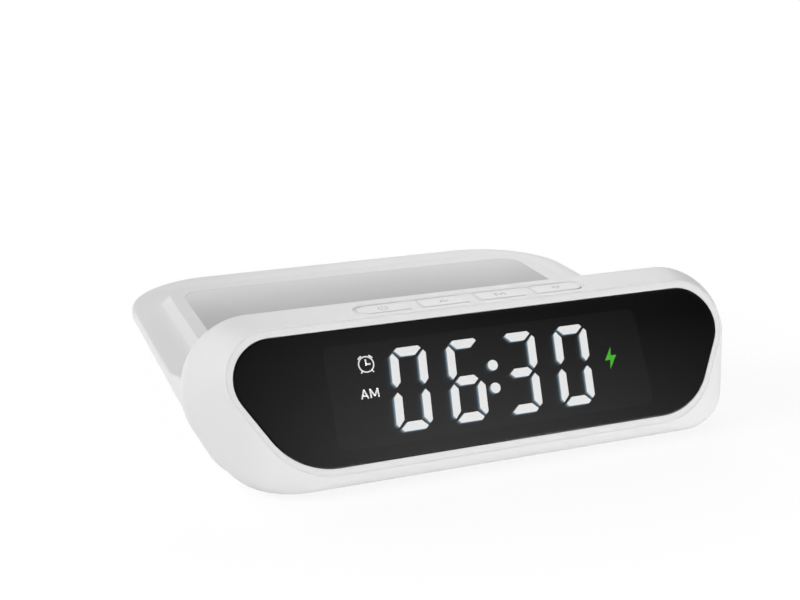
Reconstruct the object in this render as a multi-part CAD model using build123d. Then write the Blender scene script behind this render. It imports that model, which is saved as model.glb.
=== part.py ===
from build123d import *
import math
import os
from collections import namedtuple

os.makedirs("parts", exist_ok=True)

# Overall size in millimetres: front lower edge to rear edge, and the air under the body
DEPTH = 123.2
FOOT_GAP = 1.0
TOL = 0.001
LAP = 0.3

# Leaning front face: a rounded trapezoid window with a thin ring around it
FACE_LEAN = 31.5
FACE_Z = 19.0
WINDOW_TOP = 14.0
WINDOW_BOTTOM = 14.8
WINDOW_HALF = 55.59
WINDOW_FLARE = 30.33
WINDOW_R_TOP = 8.87
WINDOW_R_BOTTOM = 15.5
WINDOW_T = 1.2
WINDOW_GAP = 0.08
RING_SIDE = 1.35
RING_TOP = 1.9
RING_BOTTOM = 1.8
RING_ROUND = 1.55
RING_LIP = 0.3
RING_SEAM = 0.08
RING_EDGE = 0.15
SEAT_W = 1.5
SEAT_T = 1.4

# Front housing: cheeks swell from the ring to the widest outline, then a rounded back
SWELL_DEPTH = 3.3
SWELL_SPREAD = 2.2
SWELL_FLARE = 18.5
SWELL_DROP = 1.87
SWELL_R_TOP = 11.2
SWELL_R_BOTTOM = 12.55
CHEEK_DEPTH = 11.4
CHEEK_SPREAD = 7.45
CHEEK_FLARE = 26.0
CHEEK_RISE = 2.95
CHEEK_R_TOP = 15.8
CHEEK_R_BOTTOM = 12.8
BACK_T = 4.4
BACK_TILT = 5.5
BACK_R = 1.4
WALL = 2.5
REAR_WALL = 2.4
HOUSING_FLOOR = 2.0

# Charging tray: rim, raised platform and dished pad
TRAY_HALF = 63.54
TRAY_R = 25.0
RIM_Z = 12.57
RIM_BAND = 2.2
RIM_R = 0.7
PLATFORM_SIDE = 10.24
PLATFORM_REAR = 15.63
PLATFORM_R = 8.0
PLATFORM_H = 2.0
PLATFORM_EDGE_R = 0.3
FOOT_ROUND_SHARE = 0.8
PAD_MARGIN = 3.8
PAD_FRONT = 4.0
PAD_R = 5.5
PAD_T = 1.6
PAD_GAP = 0.06
PAD_DROP = 0.1
DISH_EDGE = 0.5
DISH_SLOPE = 4.0
DISH_DEPTH = 0.9
DECK_FLOOR = 1.8
POCKET_MARGIN = 3.5
POCKET_FRONT = 3.0
POCKET_R = 5.0

# Base cover: a shallow bowl under the tray, given as shares of its height and of its inset
BASE_INSET = 17.0
BASE_LEVEL_SHARES = (1.0, 0.81, 0.61, 0.38, 0.19, 0.0)
BASE_INSET_SHARES = (0.0, 0.07, 0.17, 0.34, 0.59, 1.0)
BASE_FLOOR = 1.8
BASE_WALL = 2.0
HOLLOW_LEVEL_SHARES = (1.0, 0.78, 0.56, 0.26, 0.0)
HOLLOW_INSET_SHARES = (0.0, 0.09, 0.22, 0.48, 1.0)
NICHE_W = 14.0
NICHE_D = 8.1
NICHE_WALL = 1.8
NICHE_FLOOR = 2.4
SLOT_GAP = 0.22

# Keys: four caps in a long recess on top of the front housing
KEY_SETBACK = 4.9
KEY_RECESS_W = 6.5
KEY_RECESS_END = 0.8
KEY_RECESS_H = 0.45
KEY_D = 5.0
KEY_INNER_W = 11.0
KEY_OUTER_W = 11.8
KEY_SPACE = 2.8
KEY_CORNER_R = 0.5
KEY_END_SHARE = 0.48
KEY_PROUD = 0.05
KEY_EDGE_R = 0.2
KEY_GAP = 0.3
KEY_FLANGE = 0.9
KEY_FLANGE_T = 0.7
KEY_FLANGE_SHARE = 0.6
KEY_REST_GAP = 0.12
KEY_TRAVEL = 0.5
KEY_STOP_GAP = 0.1
SWITCH_W = 4.0
SWITCH_D = 3.2
SWITCH_H = 1.3
PLUNGER_R = 0.9
PLUNGER_H = 0.35
KEY_BOARD_W = 71.0
KEY_BOARD_D = 6.2
KEY_BOARD_T = 0.8
KEY_POST_SET = 2.5
KEY_POST_R = 2.2

# Display: a light box with seven-segment digits, carried by a board
DISPLAY_W = 74.5
DISPLAY_H = 22.0
DISPLAY_T = 5.0
DISPLAY_R = 2.0
DISPLAY_AIR = 0.15
DISPLAY_DROP = 0.45
DIGIT_PITCH = 12.95
DIGIT_W = 8.4
DIGIT_H = 18.0
DIGIT_SLANT = 5.1
SEGMENT_W = 2.05
SEGMENT_T = 1.3
SEGMENT_PROUD = 0.1
SEGMENT_MITRE = 0.45
SEGMENT_CUT = 0.6
SEGMENT_SPLIT = 0.5
COLON_R = 1.15
COLON_SPACE = 5.0
LIT_DIGITS = ("abcdef", "acdefg", "abcdg", "abcdef")
ALL_SEGMENTS = "abcdefg"
DISPLAY_BOARD_W = 92.0
DISPLAY_BOARD_H = 20.5
BOARD_T = 1.2
BOARD_R = 1.0
DISPLAY_POST_SET = 4.0
POST_R = 2.5

# Charging coil, its ferrite and the bracket that clamps them under the tray
COIL_CLEAR = 0.6
COIL_SHARE = 0.463
COIL_HOLE_R = 10.0
COIL_T = 1.2
FERRITE_W = 54.0
FERRITE_T = 1.0
BRACKET_SIDE = 6.0
BRACKET_T = 1.2
BRACKET_POST_SET = 3.0
BRACKET_POST_SHARE = 0.7
LEAD_R = 0.4
LEAD_SPACE = 5.0
LEAD_RUN = 2.0

# Main board with its parts
MAIN_W = 60.0
MAIN_D = 32.0
MAIN_REAR = 4.5
STANDOFF_H = 1.6
STANDOFF_SET = 3.5
SOCKET_W = 8.94
SOCKET_H = 3.26
SOCKET_D = 7.35
SOCKET_SKIN = 0.3
SOCKET_TONGUE_T = 0.7
SOCKET_BACK = 1.2
CHIP_H = 1.6
CHIP_PLACE_SHARES = ((0.0, -0.12), (0.2, 0.0), (-0.26, -0.08), (0.24, 0.28))
CHIP_SIZE_SHARES = ((0.14, 0.25, 0.7), (0.1, 0.16, 0.6), (0.12, 0.21, 1.0), (0.1, 0.1, 0.5))
BUZZER_R = 5.0
BUZZER_H = 4.4
BUZZER_HOLE_R = 1.0
BUZZER_HOLE_D = 0.8
BUZZER_X_SHARE = 0.33
BUZZER_Y_SHARE = 0.3

# Flat ribbons between the boards
RIBBON_T = 0.3
RIBBON_W = 10.0
RIBBON_X = 17.5
KEY_RIBBON_W = 8.0
RIBBON_REST = 4.0
RIBBON_HANG = 1.6
WIRE_GATE_W = 14.0
WIRE_GATE_H = 4.0
WIRE_GATE_RISE = 6.0

# Fasteners and feet
CASE_SCREW_X = 40.0
CASE_SCREW_Y = 24.0
CASE_HEAD_R = 2.75
CASE_HEAD_H = 1.8
CASE_HEAD_SINK = 0.6
CASE_SHANK_R = 1.3
CASE_SHANK_L = 5.6
CASE_BOSS_R = 4.2
CASE_BOSS_H = 5.0
CASE_POST_R = 3.0
SMALL_HEAD_R = 1.7
SMALL_HEAD_H = 1.2
SMALL_SHANK_R = 0.9
SMALL_SHANK_L = 3.4
SCREW_GAP = 0.1
HOLE_SPARE = 0.2
SOCKET_HEX_SHARE = 0.5
FOOT_R = 4.0
FOOT_T = 1.5
FOOT_X = 36.0
FOOT_FRONT = 6.3
FOOT_REAR = 23.6
FOOT_EDGE_R = 0.4

# The face plane and the heights that follow from it
SIN = math.sin(math.radians(FACE_LEAN))
COS = math.cos(math.radians(FACE_LEAN))
Outline = namedtuple("Outline", "top bottom half flare r_top r_bottom")
WINDOW = Outline(WINDOW_TOP, -WINDOW_BOTTOM, WINDOW_HALF, WINDOW_FLARE, WINDOW_R_TOP, WINDOW_R_BOTTOM)
RING = Outline(
    WINDOW_TOP + RING_TOP,
    -WINDOW_BOTTOM - RING_BOTTOM,
    WINDOW_HALF + RING_SIDE / math.cos(math.radians(WINDOW_FLARE)),
    WINDOW_FLARE,
    WINDOW_R_TOP + RING_ROUND,
    WINDOW_R_BOTTOM + RING_ROUND,
)
BACK_LEAN = FACE_LEAN - BACK_TILT
BACK_SIN = math.sin(math.radians(BACK_LEAN))
BACK_COS = math.cos(math.radians(BACK_LEAN))
SWELL = Outline(
    RING.top + SWELL_DEPTH * SIN / COS,
    RING.bottom - SWELL_DROP,
    RING.half + SWELL_SPREAD,
    SWELL_FLARE,
    SWELL_R_TOP,
    SWELL_R_BOTTOM,
)
CHEEK = Outline(
    (RING.top * COS + CHEEK_DEPTH * SIN) / BACK_COS,
    RING.bottom + CHEEK_RISE,
    RING.half + CHEEK_SPREAD,
    CHEEK_FLARE,
    CHEEK_R_TOP,
    CHEEK_R_BOTTOM,
)
FACE_Y = -DEPTH / 2 - RING.bottom * SIN
FACE = Plane(origin=(0, FACE_Y, FACE_Z), x_dir=(1, 0, 0), z_dir=(0, -COS, SIN))
CHEEK_PLANE = Plane(
    origin=(0, FACE_Y + CHEEK_DEPTH * COS, FACE_Z - CHEEK_DEPTH * SIN),
    x_dir=(1, 0, 0),
    z_dir=(0, -BACK_COS, BACK_SIN),
)
REAR_PLANE = CHEEK_PLANE.offset(-BACK_T)
INNER_PLANE = CHEEK_PLANE.offset(REAR_WALL - BACK_T)
MIDDLE_PLANE = CHEEK_PLANE.offset(REAR_WALL / 2 - BACK_T)
SEAT_BACK = WINDOW_T + SEAT_T
BASE_Z = FOOT_GAP
DECK_Z = RIM_Z - RIM_BAND
PLATFORM_Z = RIM_Z + PLATFORM_H
PAD_FLOOR = PLATFORM_Z - PAD_T
POCKET_Z = PAD_FLOOR - DECK_FLOOR
FLOOR_Z = BASE_Z + BASE_FLOOR
TOP_Z = FACE_Z + RING.top * COS
TOP_UNDER = TOP_Z - WALL * BACK_COS
HUGE = DEPTH * 4


def at_depth(depth):
    """Plane parallel to the face, the given distance behind it."""
    return FACE.offset(-depth)


def display_at(depth):
    """Plane of the display at a depth behind the face, with its middle a little below the face's."""
    return Plane(origin=(0, *spot(-DISPLAY_DROP, depth)), x_dir=(1, 0, 0), z_dir=tuple(FACE.z_dir))


def spot(rise, depth):
    """Y and Z of a point given by its rise up the face and its depth behind it."""
    return (FACE_Y + rise * SIN + depth * COS, FACE_Z + rise * COS - depth * SIN)


def cross_y(plane, height):
    """Y where a leaning plane crosses a height."""
    return plane.origin.Y - (height - plane.origin.Z) * plane.z_dir.Z / plane.z_dir.Y


def grow(outline, amount):
    """Outline moved outward by the same amount all round."""
    side = amount / math.cos(math.radians(outline.flare))
    return Outline(
        outline.top + amount,
        outline.bottom - amount,
        outline.half + side,
        outline.flare,
        outline.r_top + amount,
        outline.r_bottom + amount,
    )


def between(depth):
    """Outline of the housing at a depth, part of the way from the ring to the swell."""
    share = min(depth / SWELL_DEPTH, 1)
    return Outline(*[a + (b - a) * share for a, b in zip(RING, SWELL)])


def face_sketch(outline):
    """Rounded trapezoid with a wide top."""
    slope = math.tan(math.radians(outline.flare))
    head = outline.half + outline.top * slope
    foot = outline.half + outline.bottom * slope
    corners = ((-foot, outline.bottom), (foot, outline.bottom), (head, outline.top), (-head, outline.top))
    sketch = Polygon(*corners, align=None)
    sketch = fillet(sketch.vertices().group_by(Axis.Y)[-1], outline.r_top)
    return fillet(sketch.vertices().group_by(Axis.Y)[0], outline.r_bottom)


def edges_in(plane, shape):
    """Edges that lie in a plane."""
    found = []
    for edge in shape.edges():
        ends = [plane.to_local_coords(edge.position_at(share)).Z for share in (0, 0.5, 1)]
        if max(abs(end) for end in ends) < TOL:
            found.append(edge)
    return found


def before(plane):
    """All the space in front of a leaning plane."""
    block = Box(HUGE, HUGE, HUGE, align=(Align.CENTER, Align.CENTER, Align.MIN))
    return plane * block


def above(height):
    """All the space above a height."""
    block = Box(HUGE, HUGE, HUGE, align=(Align.CENTER, Align.CENTER, Align.MIN))
    return Pos(0, 0, height) * block


def column(x, y, low, high, radius):
    """Upright round bar between two heights."""
    bar = Cylinder(radius, high - low, align=(Align.CENTER, Align.CENTER, Align.MIN))
    return Pos(x, y, low) * bar


def block(width, y_front, y_rear, low, high, x=0):
    """Upright box given by its width, its ends along Y and its heights."""
    box = Box(width, y_rear - y_front, high - low, align=(Align.CENTER, Align.MIN, Align.MIN))
    return Pos(x, y_front, low) * box


def tray_sketch(inset):
    """Plan of the tray with two round rear corners; the front end is trimmed later."""
    half = TRAY_HALF - inset
    rear = DEPTH / 2 - inset
    front = -DEPTH / 2
    sketch = Polygon((-half, front), (half, front), (half, rear), (-half, rear), align=None)
    return fillet(sketch.vertices().group_by(Axis.Y)[-1], TRAY_R - inset)


def plan_sketch(half, front, rear, radius, round_front):
    """Rectangle in plan with rounded rear corners, and rounded front corners if asked."""
    sketch = Polygon((-half, front), (half, front), (half, rear), (-half, rear), align=None)
    corners = sketch.vertices() if round_front else sketch.vertices().group_by(Axis.Y)[-1]
    return fillet(corners, radius)


def write(node, *shapes):
    """Write one node as a solid or as a group of separate solids."""
    solids = [solid for shape in shapes for solid in shape.solids()]
    body = solids[0] if len(solids) == 1 else Compound(children=solids)
    export_step(body, f"parts/{node}.step")


# Front housing outside: swelling cheeks that roll under to the sole, and a rounded back
ring_plan = FACE * face_sketch(RING)
swell_plan = at_depth(SWELL_DEPTH) * face_sketch(SWELL)
cheek_plan = CHEEK_PLANE * face_sketch(CHEEK)
housing = loft([ring_plan, swell_plan, cheek_plan]) + extrude(cheek_plan, amount=-BACK_T)
housing = fillet(edges_in(REAR_PLANE, housing), BACK_R)
housing = housing & above(BASE_Z)

# Tray deck with its raised platform, trimmed inside the housing's rear wall
platform_half = TRAY_HALF - PLATFORM_SIDE
platform_rear = DEPTH / 2 - PLATFORM_REAR
deck = extrude(Pos(0, 0, DECK_Z) * tray_sketch(0), amount=RIM_BAND)
rim_edges = [e for e in deck.edges().group_by(Axis.Z)[-1] if e.center().Y > -DEPTH / 2 + TOL]
deck = fillet(rim_edges, RIM_R)
platform_plan = plan_sketch(platform_half, -DEPTH / 2, platform_rear, PLATFORM_R, False)
deck += extrude(Pos(0, 0, DECK_Z) * platform_plan, amount=RIM_BAND + PLATFORM_H)
foot_edges = [
    edge
    for edge in deck.edges()
    if abs(edge.position_at(0).Z - RIM_Z) + abs(edge.position_at(1).Z - RIM_Z) < TOL
    and abs(edge.center().X) < platform_half + TOL
    and -DEPTH / 2 + TOL < edge.center().Y < platform_rear + TOL
]
deck = fillet(foot_edges, PLATFORM_H * FOOT_ROUND_SHARE)
edge_ring = [e for e in deck.edges().group_by(Axis.Z)[-1] if e.center().Y > -DEPTH / 2 + TOL]
deck = fillet(edge_ring, PLATFORM_EDGE_R)
deck -= before(MIDDLE_PLANE)
upper_shell = housing + deck

# Window seat and hollow of the front housing
upper_shell -= extrude(FACE * face_sketch(grow(RING, -RING_LIP)), amount=-WINDOW_T)
upper_shell -= extrude(FACE * face_sketch(grow(WINDOW, -SEAT_W)), amount=-SEAT_BACK - LAP)
hollow_front = at_depth(SEAT_BACK) * face_sketch(grow(between(SEAT_BACK), -WALL))
hollow_back = CHEEK_PLANE * face_sketch(grow(CHEEK, -WALL))
hollow = loft([hollow_front, hollow_back], ruled=True)
hollow += extrude(hollow_back, amount=REAR_WALL - BACK_T)
upper_shell -= hollow & above(BASE_Z + HOUSING_FLOOR)

# Pad recess, coil pocket under the tray and the wire gate through the rear wall
pad_half = platform_half - PAD_MARGIN
pad_front = cross_y(REAR_PLANE, PLATFORM_Z) + PAD_FRONT
pad_rear = platform_rear - PAD_MARGIN
recess_plan = plan_sketch(pad_half + PAD_GAP, pad_front - PAD_GAP, pad_rear + PAD_GAP, PAD_R + PAD_GAP, True)
upper_shell -= extrude(Pos(0, 0, PAD_FLOOR) * recess_plan, amount=PAD_T + LAP)
pocket_half = platform_half - POCKET_MARGIN
pocket_front = cross_y(REAR_PLANE, DECK_Z) + POCKET_FRONT
pocket_plan = plan_sketch(pocket_half, pocket_front, platform_rear - POCKET_MARGIN, POCKET_R, True)
upper_shell -= extrude(Pos(0, 0, DECK_Z - LAP) * pocket_plan, amount=POCKET_Z - DECK_Z + LAP)
gate_z = BASE_Z + WIRE_GATE_RISE
gate_front = cross_y(INNER_PLANE, gate_z - WIRE_GATE_H / 2) - REAR_WALL / 2
gate_rear = cross_y(REAR_PLANE, gate_z + WIRE_GATE_H / 2) + REAR_WALL / 2
gate_low = gate_z - WIRE_GATE_H / 2
upper_shell -= block(WIRE_GATE_W, gate_front, gate_rear, gate_low, gate_low + WIRE_GATE_H, RIBBON_X)

# Key places along the top and the stack of heights under them
key_y = FACE_Y + RING.top * SIN + KEY_SETBACK
inner_x = (KEY_SPACE + KEY_INNER_W) / 2
outer_x = KEY_SPACE * 3 / 2 + KEY_INNER_W + KEY_OUTER_W / 2
key_end = outer_x + KEY_OUTER_W / 2
flange_top = TOP_UNDER - KEY_REST_GAP
flange_low = flange_top - KEY_FLANGE_T
plunger_top = flange_low - KEY_TRAVEL - KEY_STOP_GAP
key_board_top = plunger_top - PLUNGER_H - SWITCH_H
key_board_low = key_board_top - KEY_BOARD_T
key_top = TOP_Z + KEY_PROUD
KEYS = (
    ("key_power", -outer_x, KEY_OUTER_W, -1),
    ("key_up", -inner_x, KEY_INNER_W, 0),
    ("key_mode", inner_x, KEY_INNER_W, 0),
    ("key_down", outer_x, KEY_OUTER_W, 1),
)


def key_sketch(width, end, spare):
    """Plan of one key; end says which side, if any, is a round end."""
    sketch = Rectangle(width + 2 * spare, KEY_D + 2 * spare)
    round_end = (KEY_D + 2 * spare) * KEY_END_SHARE
    for side in (-1, 1):
        radius = round_end if side == end else KEY_CORNER_R + spare
        corners = [v for v in sketch.vertices() if abs(v.X - side * (width / 2 + spare)) < TOL]
        sketch = fillet(corners, radius)
    return sketch


recess_length = 2 * (key_end + KEY_RECESS_END)
key_recess = Pos(0, key_y, TOP_Z - KEY_RECESS_H) * SlotOverall(recess_length, KEY_RECESS_W)
upper_shell -= extrude(key_recess, amount=KEY_RECESS_H + LAP)
for node, x, width, end in KEYS:
    hole = Pos(x, key_y, flange_low - KEY_TRAVEL) * key_sketch(width, end, KEY_GAP)
    upper_shell -= extrude(hole, amount=TOP_Z - flange_low + KEY_TRAVEL)

# Posts inside the housing and under the tray, with their screw holes
key_post_x = KEY_BOARD_W / 2 - KEY_POST_SET
display_post_x = DISPLAY_BOARD_W / 2 - DISPLAY_POST_SET
display_front = WINDOW_T + DISPLAY_AIR
display_board_front = display_front + DISPLAY_T
display_board_back = display_board_front + BOARD_T
niche_back = DEPTH / 2 - NICHE_D
main_rear = niche_back - MAIN_REAR
main_y = main_rear - MAIN_D / 2
buzzer_y = main_y + MAIN_D * BUZZER_Y_SHARE
bracket_rear = buzzer_y - BUZZER_R - COIL_CLEAR
bracket_room = bracket_rear - pocket_front - COIL_CLEAR
ferrite_w = min(FERRITE_W, bracket_room - 2 * BRACKET_SIDE)
bracket_half = ferrite_w / 2 + BRACKET_SIDE
coil_y = bracket_rear - bracket_half
coil_r = ferrite_w * COIL_SHARE
coil_low = POCKET_Z - COIL_T
ferrite_low = coil_low - FERRITE_T
bracket_low = ferrite_low - BRACKET_T
bracket_post_x = bracket_half - BRACKET_POST_SET
bracket_post_y = ferrite_w / 2 * BRACKET_POST_SHARE
boss_top = BASE_Z + CASE_BOSS_H
small_hole = SMALL_SHANK_R + SCREW_GAP
case_hole = CASE_SHANK_R + SCREW_GAP
head_seat = BASE_Z + CASE_HEAD_SINK + CASE_HEAD_H
small_spots = []
for side in (-1, 1):
    x = side * key_post_x
    upper_shell += column(x, key_y, key_board_top, TOP_UNDER + LAP, KEY_POST_R)
    upper_shell -= column(x, key_y, key_board_top, key_board_low + SMALL_SHANK_L + HOLE_SPARE, small_hole)
    small_spots.append(Plane((x, key_y, key_board_low), x_dir=(1, 0, 0), z_dir=(0, 0, -1)))
    x = side * display_post_x
    post = Pos(x, 0) * Circle(POST_R) - Pos(x, 0) * Circle(small_hole)
    post_length = CHEEK_DEPTH + BACK_T - REAR_WALL / 2 - display_board_back
    upper_shell += extrude(display_at(display_board_back) * post, amount=-post_length)
    small_spots.append(display_at(display_board_front) * Pos(x, 0))
    for end in (-1, 1):
        x = side * bracket_post_x
        y = coil_y + end * bracket_post_y
        upper_shell += column(x, y, ferrite_low, POCKET_Z + LAP, POST_R)
        upper_shell -= column(x, y, ferrite_low, bracket_low + SMALL_SHANK_L + HOLE_SPARE, small_hole)
        small_spots.append(Plane((x, y, bracket_low), x_dir=(1, 0, 0), z_dir=(0, 0, -1)))
        x = side * CASE_SCREW_X
        y = end * CASE_SCREW_Y
        upper_shell += column(x, y, boss_top, POCKET_Z + LAP, CASE_POST_R)
        upper_shell -= column(x, y, boss_top, head_seat + CASE_SHANK_L + HOLE_SPARE, case_hole)
write("upper_shell", upper_shell)

# Base cover: lofted bowl, hollow, bosses, plug niche and foot recesses
bowl_h = DECK_Z - BASE_Z
bowl_sections = [
    Pos(0, 0, BASE_Z + bowl_h * level) * tray_sketch(BASE_INSET * inset)
    for level, inset in zip(BASE_LEVEL_SHARES, BASE_INSET_SHARES)
]
bowl = loft(bowl_sections)
hollow_h = DECK_Z - FLOOR_Z
hollow_sections = [
    Pos(0, 0, FLOOR_Z + hollow_h * level) * tray_sketch(BASE_WALL + BASE_INSET * inset)
    for level, inset in zip(HOLLOW_LEVEL_SHARES, HOLLOW_INSET_SHARES)
]
niche_block = block(NICHE_W + 2 * NICHE_WALL, niche_back - NICHE_WALL, DEPTH / 2, BASE_Z, DECK_Z)
base_cover = bowl - loft(hollow_sections) + (niche_block & bowl)
main_low = FLOOR_Z + STANDOFF_H
main_top = main_low + BOARD_T
for side in (-1, 1):
    for end in (-1, 1):
        x = side * CASE_SCREW_X
        y = end * CASE_SCREW_Y
        base_cover += column(x, y, BASE_Z + LAP, boss_top, CASE_BOSS_R)
        base_cover -= column(x, y, BASE_Z - LAP, head_seat, CASE_HEAD_R + HOLE_SPARE)
        base_cover -= column(x, y, BASE_Z, boss_top + LAP, case_hole)
        x = side * (MAIN_W / 2 - STANDOFF_SET)
        y = main_y + end * (MAIN_D / 2 - STANDOFF_SET)
        base_cover += column(x, y, FLOOR_Z - LAP, main_low, POST_R)
        base_cover -= column(x, y, main_top - SMALL_SHANK_L - HOLE_SPARE, main_low + LAP, small_hole)
        small_spots.append(Plane((x, y, main_top), x_dir=(1, 0, 0), z_dir=(0, 0, 1)))
socket_z = main_top + SOCKET_H / 2
base_cover -= block(NICHE_W, niche_back, DEPTH, BASE_Z + NICHE_FLOOR, DECK_Z + LAP)
slot = RectangleRounded(SOCKET_W + 2 * SLOT_GAP, SOCKET_H + 2 * SLOT_GAP, SOCKET_H * SOCKET_HEX_SHARE)
slot_plane = Plane((0, niche_back + LAP, socket_z), x_dir=(1, 0, 0), z_dir=(0, -1, 0))
base_cover -= extrude(slot_plane * slot, amount=NICHE_WALL + 2 * LAP)
foot_front = cross_y(REAR_PLANE, BASE_Z) + FOOT_FRONT
foot_rear = DEPTH / 2 - FOOT_REAR
foot_spots = [(side * FOOT_X, y) for side in (-1, 1) for y in (foot_front, foot_rear)]
for x, y in foot_spots:
    base_cover -= column(x, y, BASE_Z - LAP, FOOT_T, FOOT_R)
base_cover -= before(REAR_PLANE)
write("base_cover", base_cover)

# Ring around the window and the window itself
bezel_plan = face_sketch(grow(RING, -RING_LIP - RING_SEAM)) - face_sketch(WINDOW)
front_bezel = extrude(FACE * bezel_plan, amount=-WINDOW_T)
front_bezel = chamfer(edges_in(FACE, front_bezel), RING_EDGE)
write("front_bezel", front_bezel)
display_window = extrude(FACE * face_sketch(grow(WINDOW, -WINDOW_GAP)), amount=-WINDOW_T)
display_window = chamfer(edges_in(FACE, display_window), RING_EDGE)
write("display_window", display_window)

# Keys with their flanges, the switches and the key board
for node, x, width, end in KEYS:
    cap = extrude(Pos(x, key_y, flange_low) * key_sketch(width, end, 0), amount=key_top - flange_low)
    cap = fillet(cap.edges().group_by(Axis.Z)[-1], KEY_EDGE_R)
    flange_front = key_y - KEY_D / 2 * KEY_FLANGE_SHARE
    flange_rear = key_y + KEY_D / 2 + KEY_FLANGE
    cap += block(width + 2 * KEY_FLANGE, flange_front, flange_rear, flange_low, flange_top, x)
    write(node, cap)
switches = []
for node, x, width, end in KEYS:
    front = key_y - SWITCH_D / 2
    switch = block(SWITCH_W, front, front + SWITCH_D, key_board_top, key_board_top + SWITCH_H, x)
    switch += column(x, key_y, key_board_top, plunger_top, PLUNGER_R)
    switches.append(switch)
write("key_switches", *switches)
key_board = block(KEY_BOARD_W, key_y - KEY_BOARD_D / 2, key_y + KEY_BOARD_D / 2, key_board_low, key_board_top)
for side in (-1, 1):
    key_board -= column(side * key_post_x, key_y, key_board_low - LAP, key_board_top + LAP, small_hole)
write("key_board", key_board)

# Seven-segment digits, drawn upright and then slanted
slant = math.tan(math.radians(DIGIT_SLANT))
half_w = DIGIT_W / 2
half_h = DIGIT_H / 2
bar_half = half_w - SEGMENT_W / 2 - SEGMENT_MITRE
top_bar = (
    (-half_w + SEGMENT_MITRE + 2 * SEGMENT_CUT, half_h),
    (half_w - SEGMENT_MITRE - 2 * SEGMENT_CUT, half_h),
    (half_w - SEGMENT_MITRE - SEGMENT_CUT, half_h - SEGMENT_CUT),
    (half_w - SEGMENT_MITRE - SEGMENT_W, half_h - SEGMENT_W),
    (-half_w + SEGMENT_MITRE + SEGMENT_W, half_h - SEGMENT_W),
    (-half_w + SEGMENT_MITRE + SEGMENT_CUT, half_h - SEGMENT_CUT),
)
side_bar = (
    (half_w, half_h - SEGMENT_MITRE - 2 * SEGMENT_CUT),
    (half_w - SEGMENT_CUT, half_h - SEGMENT_MITRE - SEGMENT_CUT),
    (half_w - SEGMENT_W, half_h - SEGMENT_MITRE - SEGMENT_W),
    (half_w - SEGMENT_W, SEGMENT_SPLIT + SEGMENT_W / 2),
    (half_w - SEGMENT_W / 2, SEGMENT_SPLIT),
    (half_w, SEGMENT_SPLIT + SEGMENT_W / 2),
)
middle_bar = (
    (-bar_half, 0),
    (-bar_half + SEGMENT_W / 2, SEGMENT_W / 2),
    (bar_half - SEGMENT_W / 2, SEGMENT_W / 2),
    (bar_half, 0),
    (bar_half - SEGMENT_W / 2, -SEGMENT_W / 2),
    (-bar_half + SEGMENT_W / 2, -SEGMENT_W / 2),
)
SEGMENT_SHAPES = {
    "a": (top_bar, 1, 1),
    "b": (side_bar, 1, 1),
    "c": (side_bar, 1, -1),
    "d": (top_bar, 1, -1),
    "e": (side_bar, -1, -1),
    "f": (side_bar, -1, 1),
    "g": (middle_bar, 1, 1),
}


def segment(letter, x):
    """One bar of a digit as a slanted prism set into the light box."""
    points, flip_x, flip_y = SEGMENT_SHAPES[letter]
    slanted = [(x + flip_x * px + flip_y * py * slant, flip_y * py) for px, py in points]
    plan = make_face(Polyline(*slanted, close=True))
    plan = display_at(display_front - SEGMENT_PROUD) * plan
    return extrude(plan, amount=-SEGMENT_T, dir=tuple(FACE.z_dir))


lit = []
blank = []
for index, letters in enumerate(LIT_DIGITS):
    x = (index - (len(LIT_DIGITS) - 1) / 2) * DIGIT_PITCH
    lit += [segment(letter, x) for letter in letters]
    blank += [segment(letter, x) for letter in ALL_SEGMENTS if letter not in letters]
dots = []
for side in (-1, 1):
    rise = side * COLON_SPACE / 2
    dot = display_at(display_front - SEGMENT_PROUD) * Pos(rise * slant, rise) * Circle(COLON_R)
    dots.append(extrude(dot, amount=-SEGMENT_T))
write("digit_segments", *lit)
write("blank_segments", *blank)
write("colon_dots", *dots)
light_box = extrude(display_at(display_front) * RectangleRounded(DISPLAY_W, DISPLAY_H, DISPLAY_R), amount=-DISPLAY_T)
for shape in lit + blank + dots:
    light_box -= shape
write("display_housing", light_box)
board_plan = RectangleRounded(DISPLAY_BOARD_W, DISPLAY_BOARD_H, BOARD_R)
for side in (-1, 1):
    board_plan -= Pos(side * display_post_x, 0) * Circle(small_hole)
write("display_board", extrude(display_at(display_board_front) * board_plan, amount=-BOARD_T))

# Dished charging pad, coil, ferrite and bracket
pad_top = PLATFORM_Z - PAD_DROP
pad = extrude(Pos(0, 0, PAD_FLOOR) * plan_sketch(pad_half, pad_front, pad_rear, PAD_R, True), amount=pad_top - PAD_FLOOR)
dish_sections = []
for inset, drop in ((DISH_EDGE, 0), (DISH_EDGE + DISH_SLOPE, DISH_DEPTH)):
    dish_half = pad_half - inset
    dish_plan = plan_sketch(dish_half, pad_front + inset, pad_rear - inset, PAD_R - DISH_EDGE, True)
    dish_sections.append(Pos(0, 0, pad_top - drop) * dish_plan)
pad -= loft(dish_sections, ruled=True)
write("charging_pad", pad)
coil = column(0, coil_y, coil_low, POCKET_Z, coil_r) - column(0, coil_y, coil_low, POCKET_Z, COIL_HOLE_R)
write("charging_coil", coil)
ferrite_front = coil_y - ferrite_w / 2
write("coil_ferrite", block(ferrite_w, ferrite_front, ferrite_front + ferrite_w, ferrite_low, coil_low))
bracket = block(2 * bracket_half, coil_y - bracket_half, coil_y + bracket_half, bracket_low, ferrite_low)
for side in (-1, 1):
    for end in (-1, 1):
        y = coil_y + end * bracket_post_y
        bracket -= column(side * bracket_post_x, y, bracket_low - LAP, ferrite_low + LAP, small_hole)
write("coil_bracket", bracket)
leads = []
lead_y = coil_y + bracket_half + LEAD_RUN
lead_z = coil_low + COIL_T / 2
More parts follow.
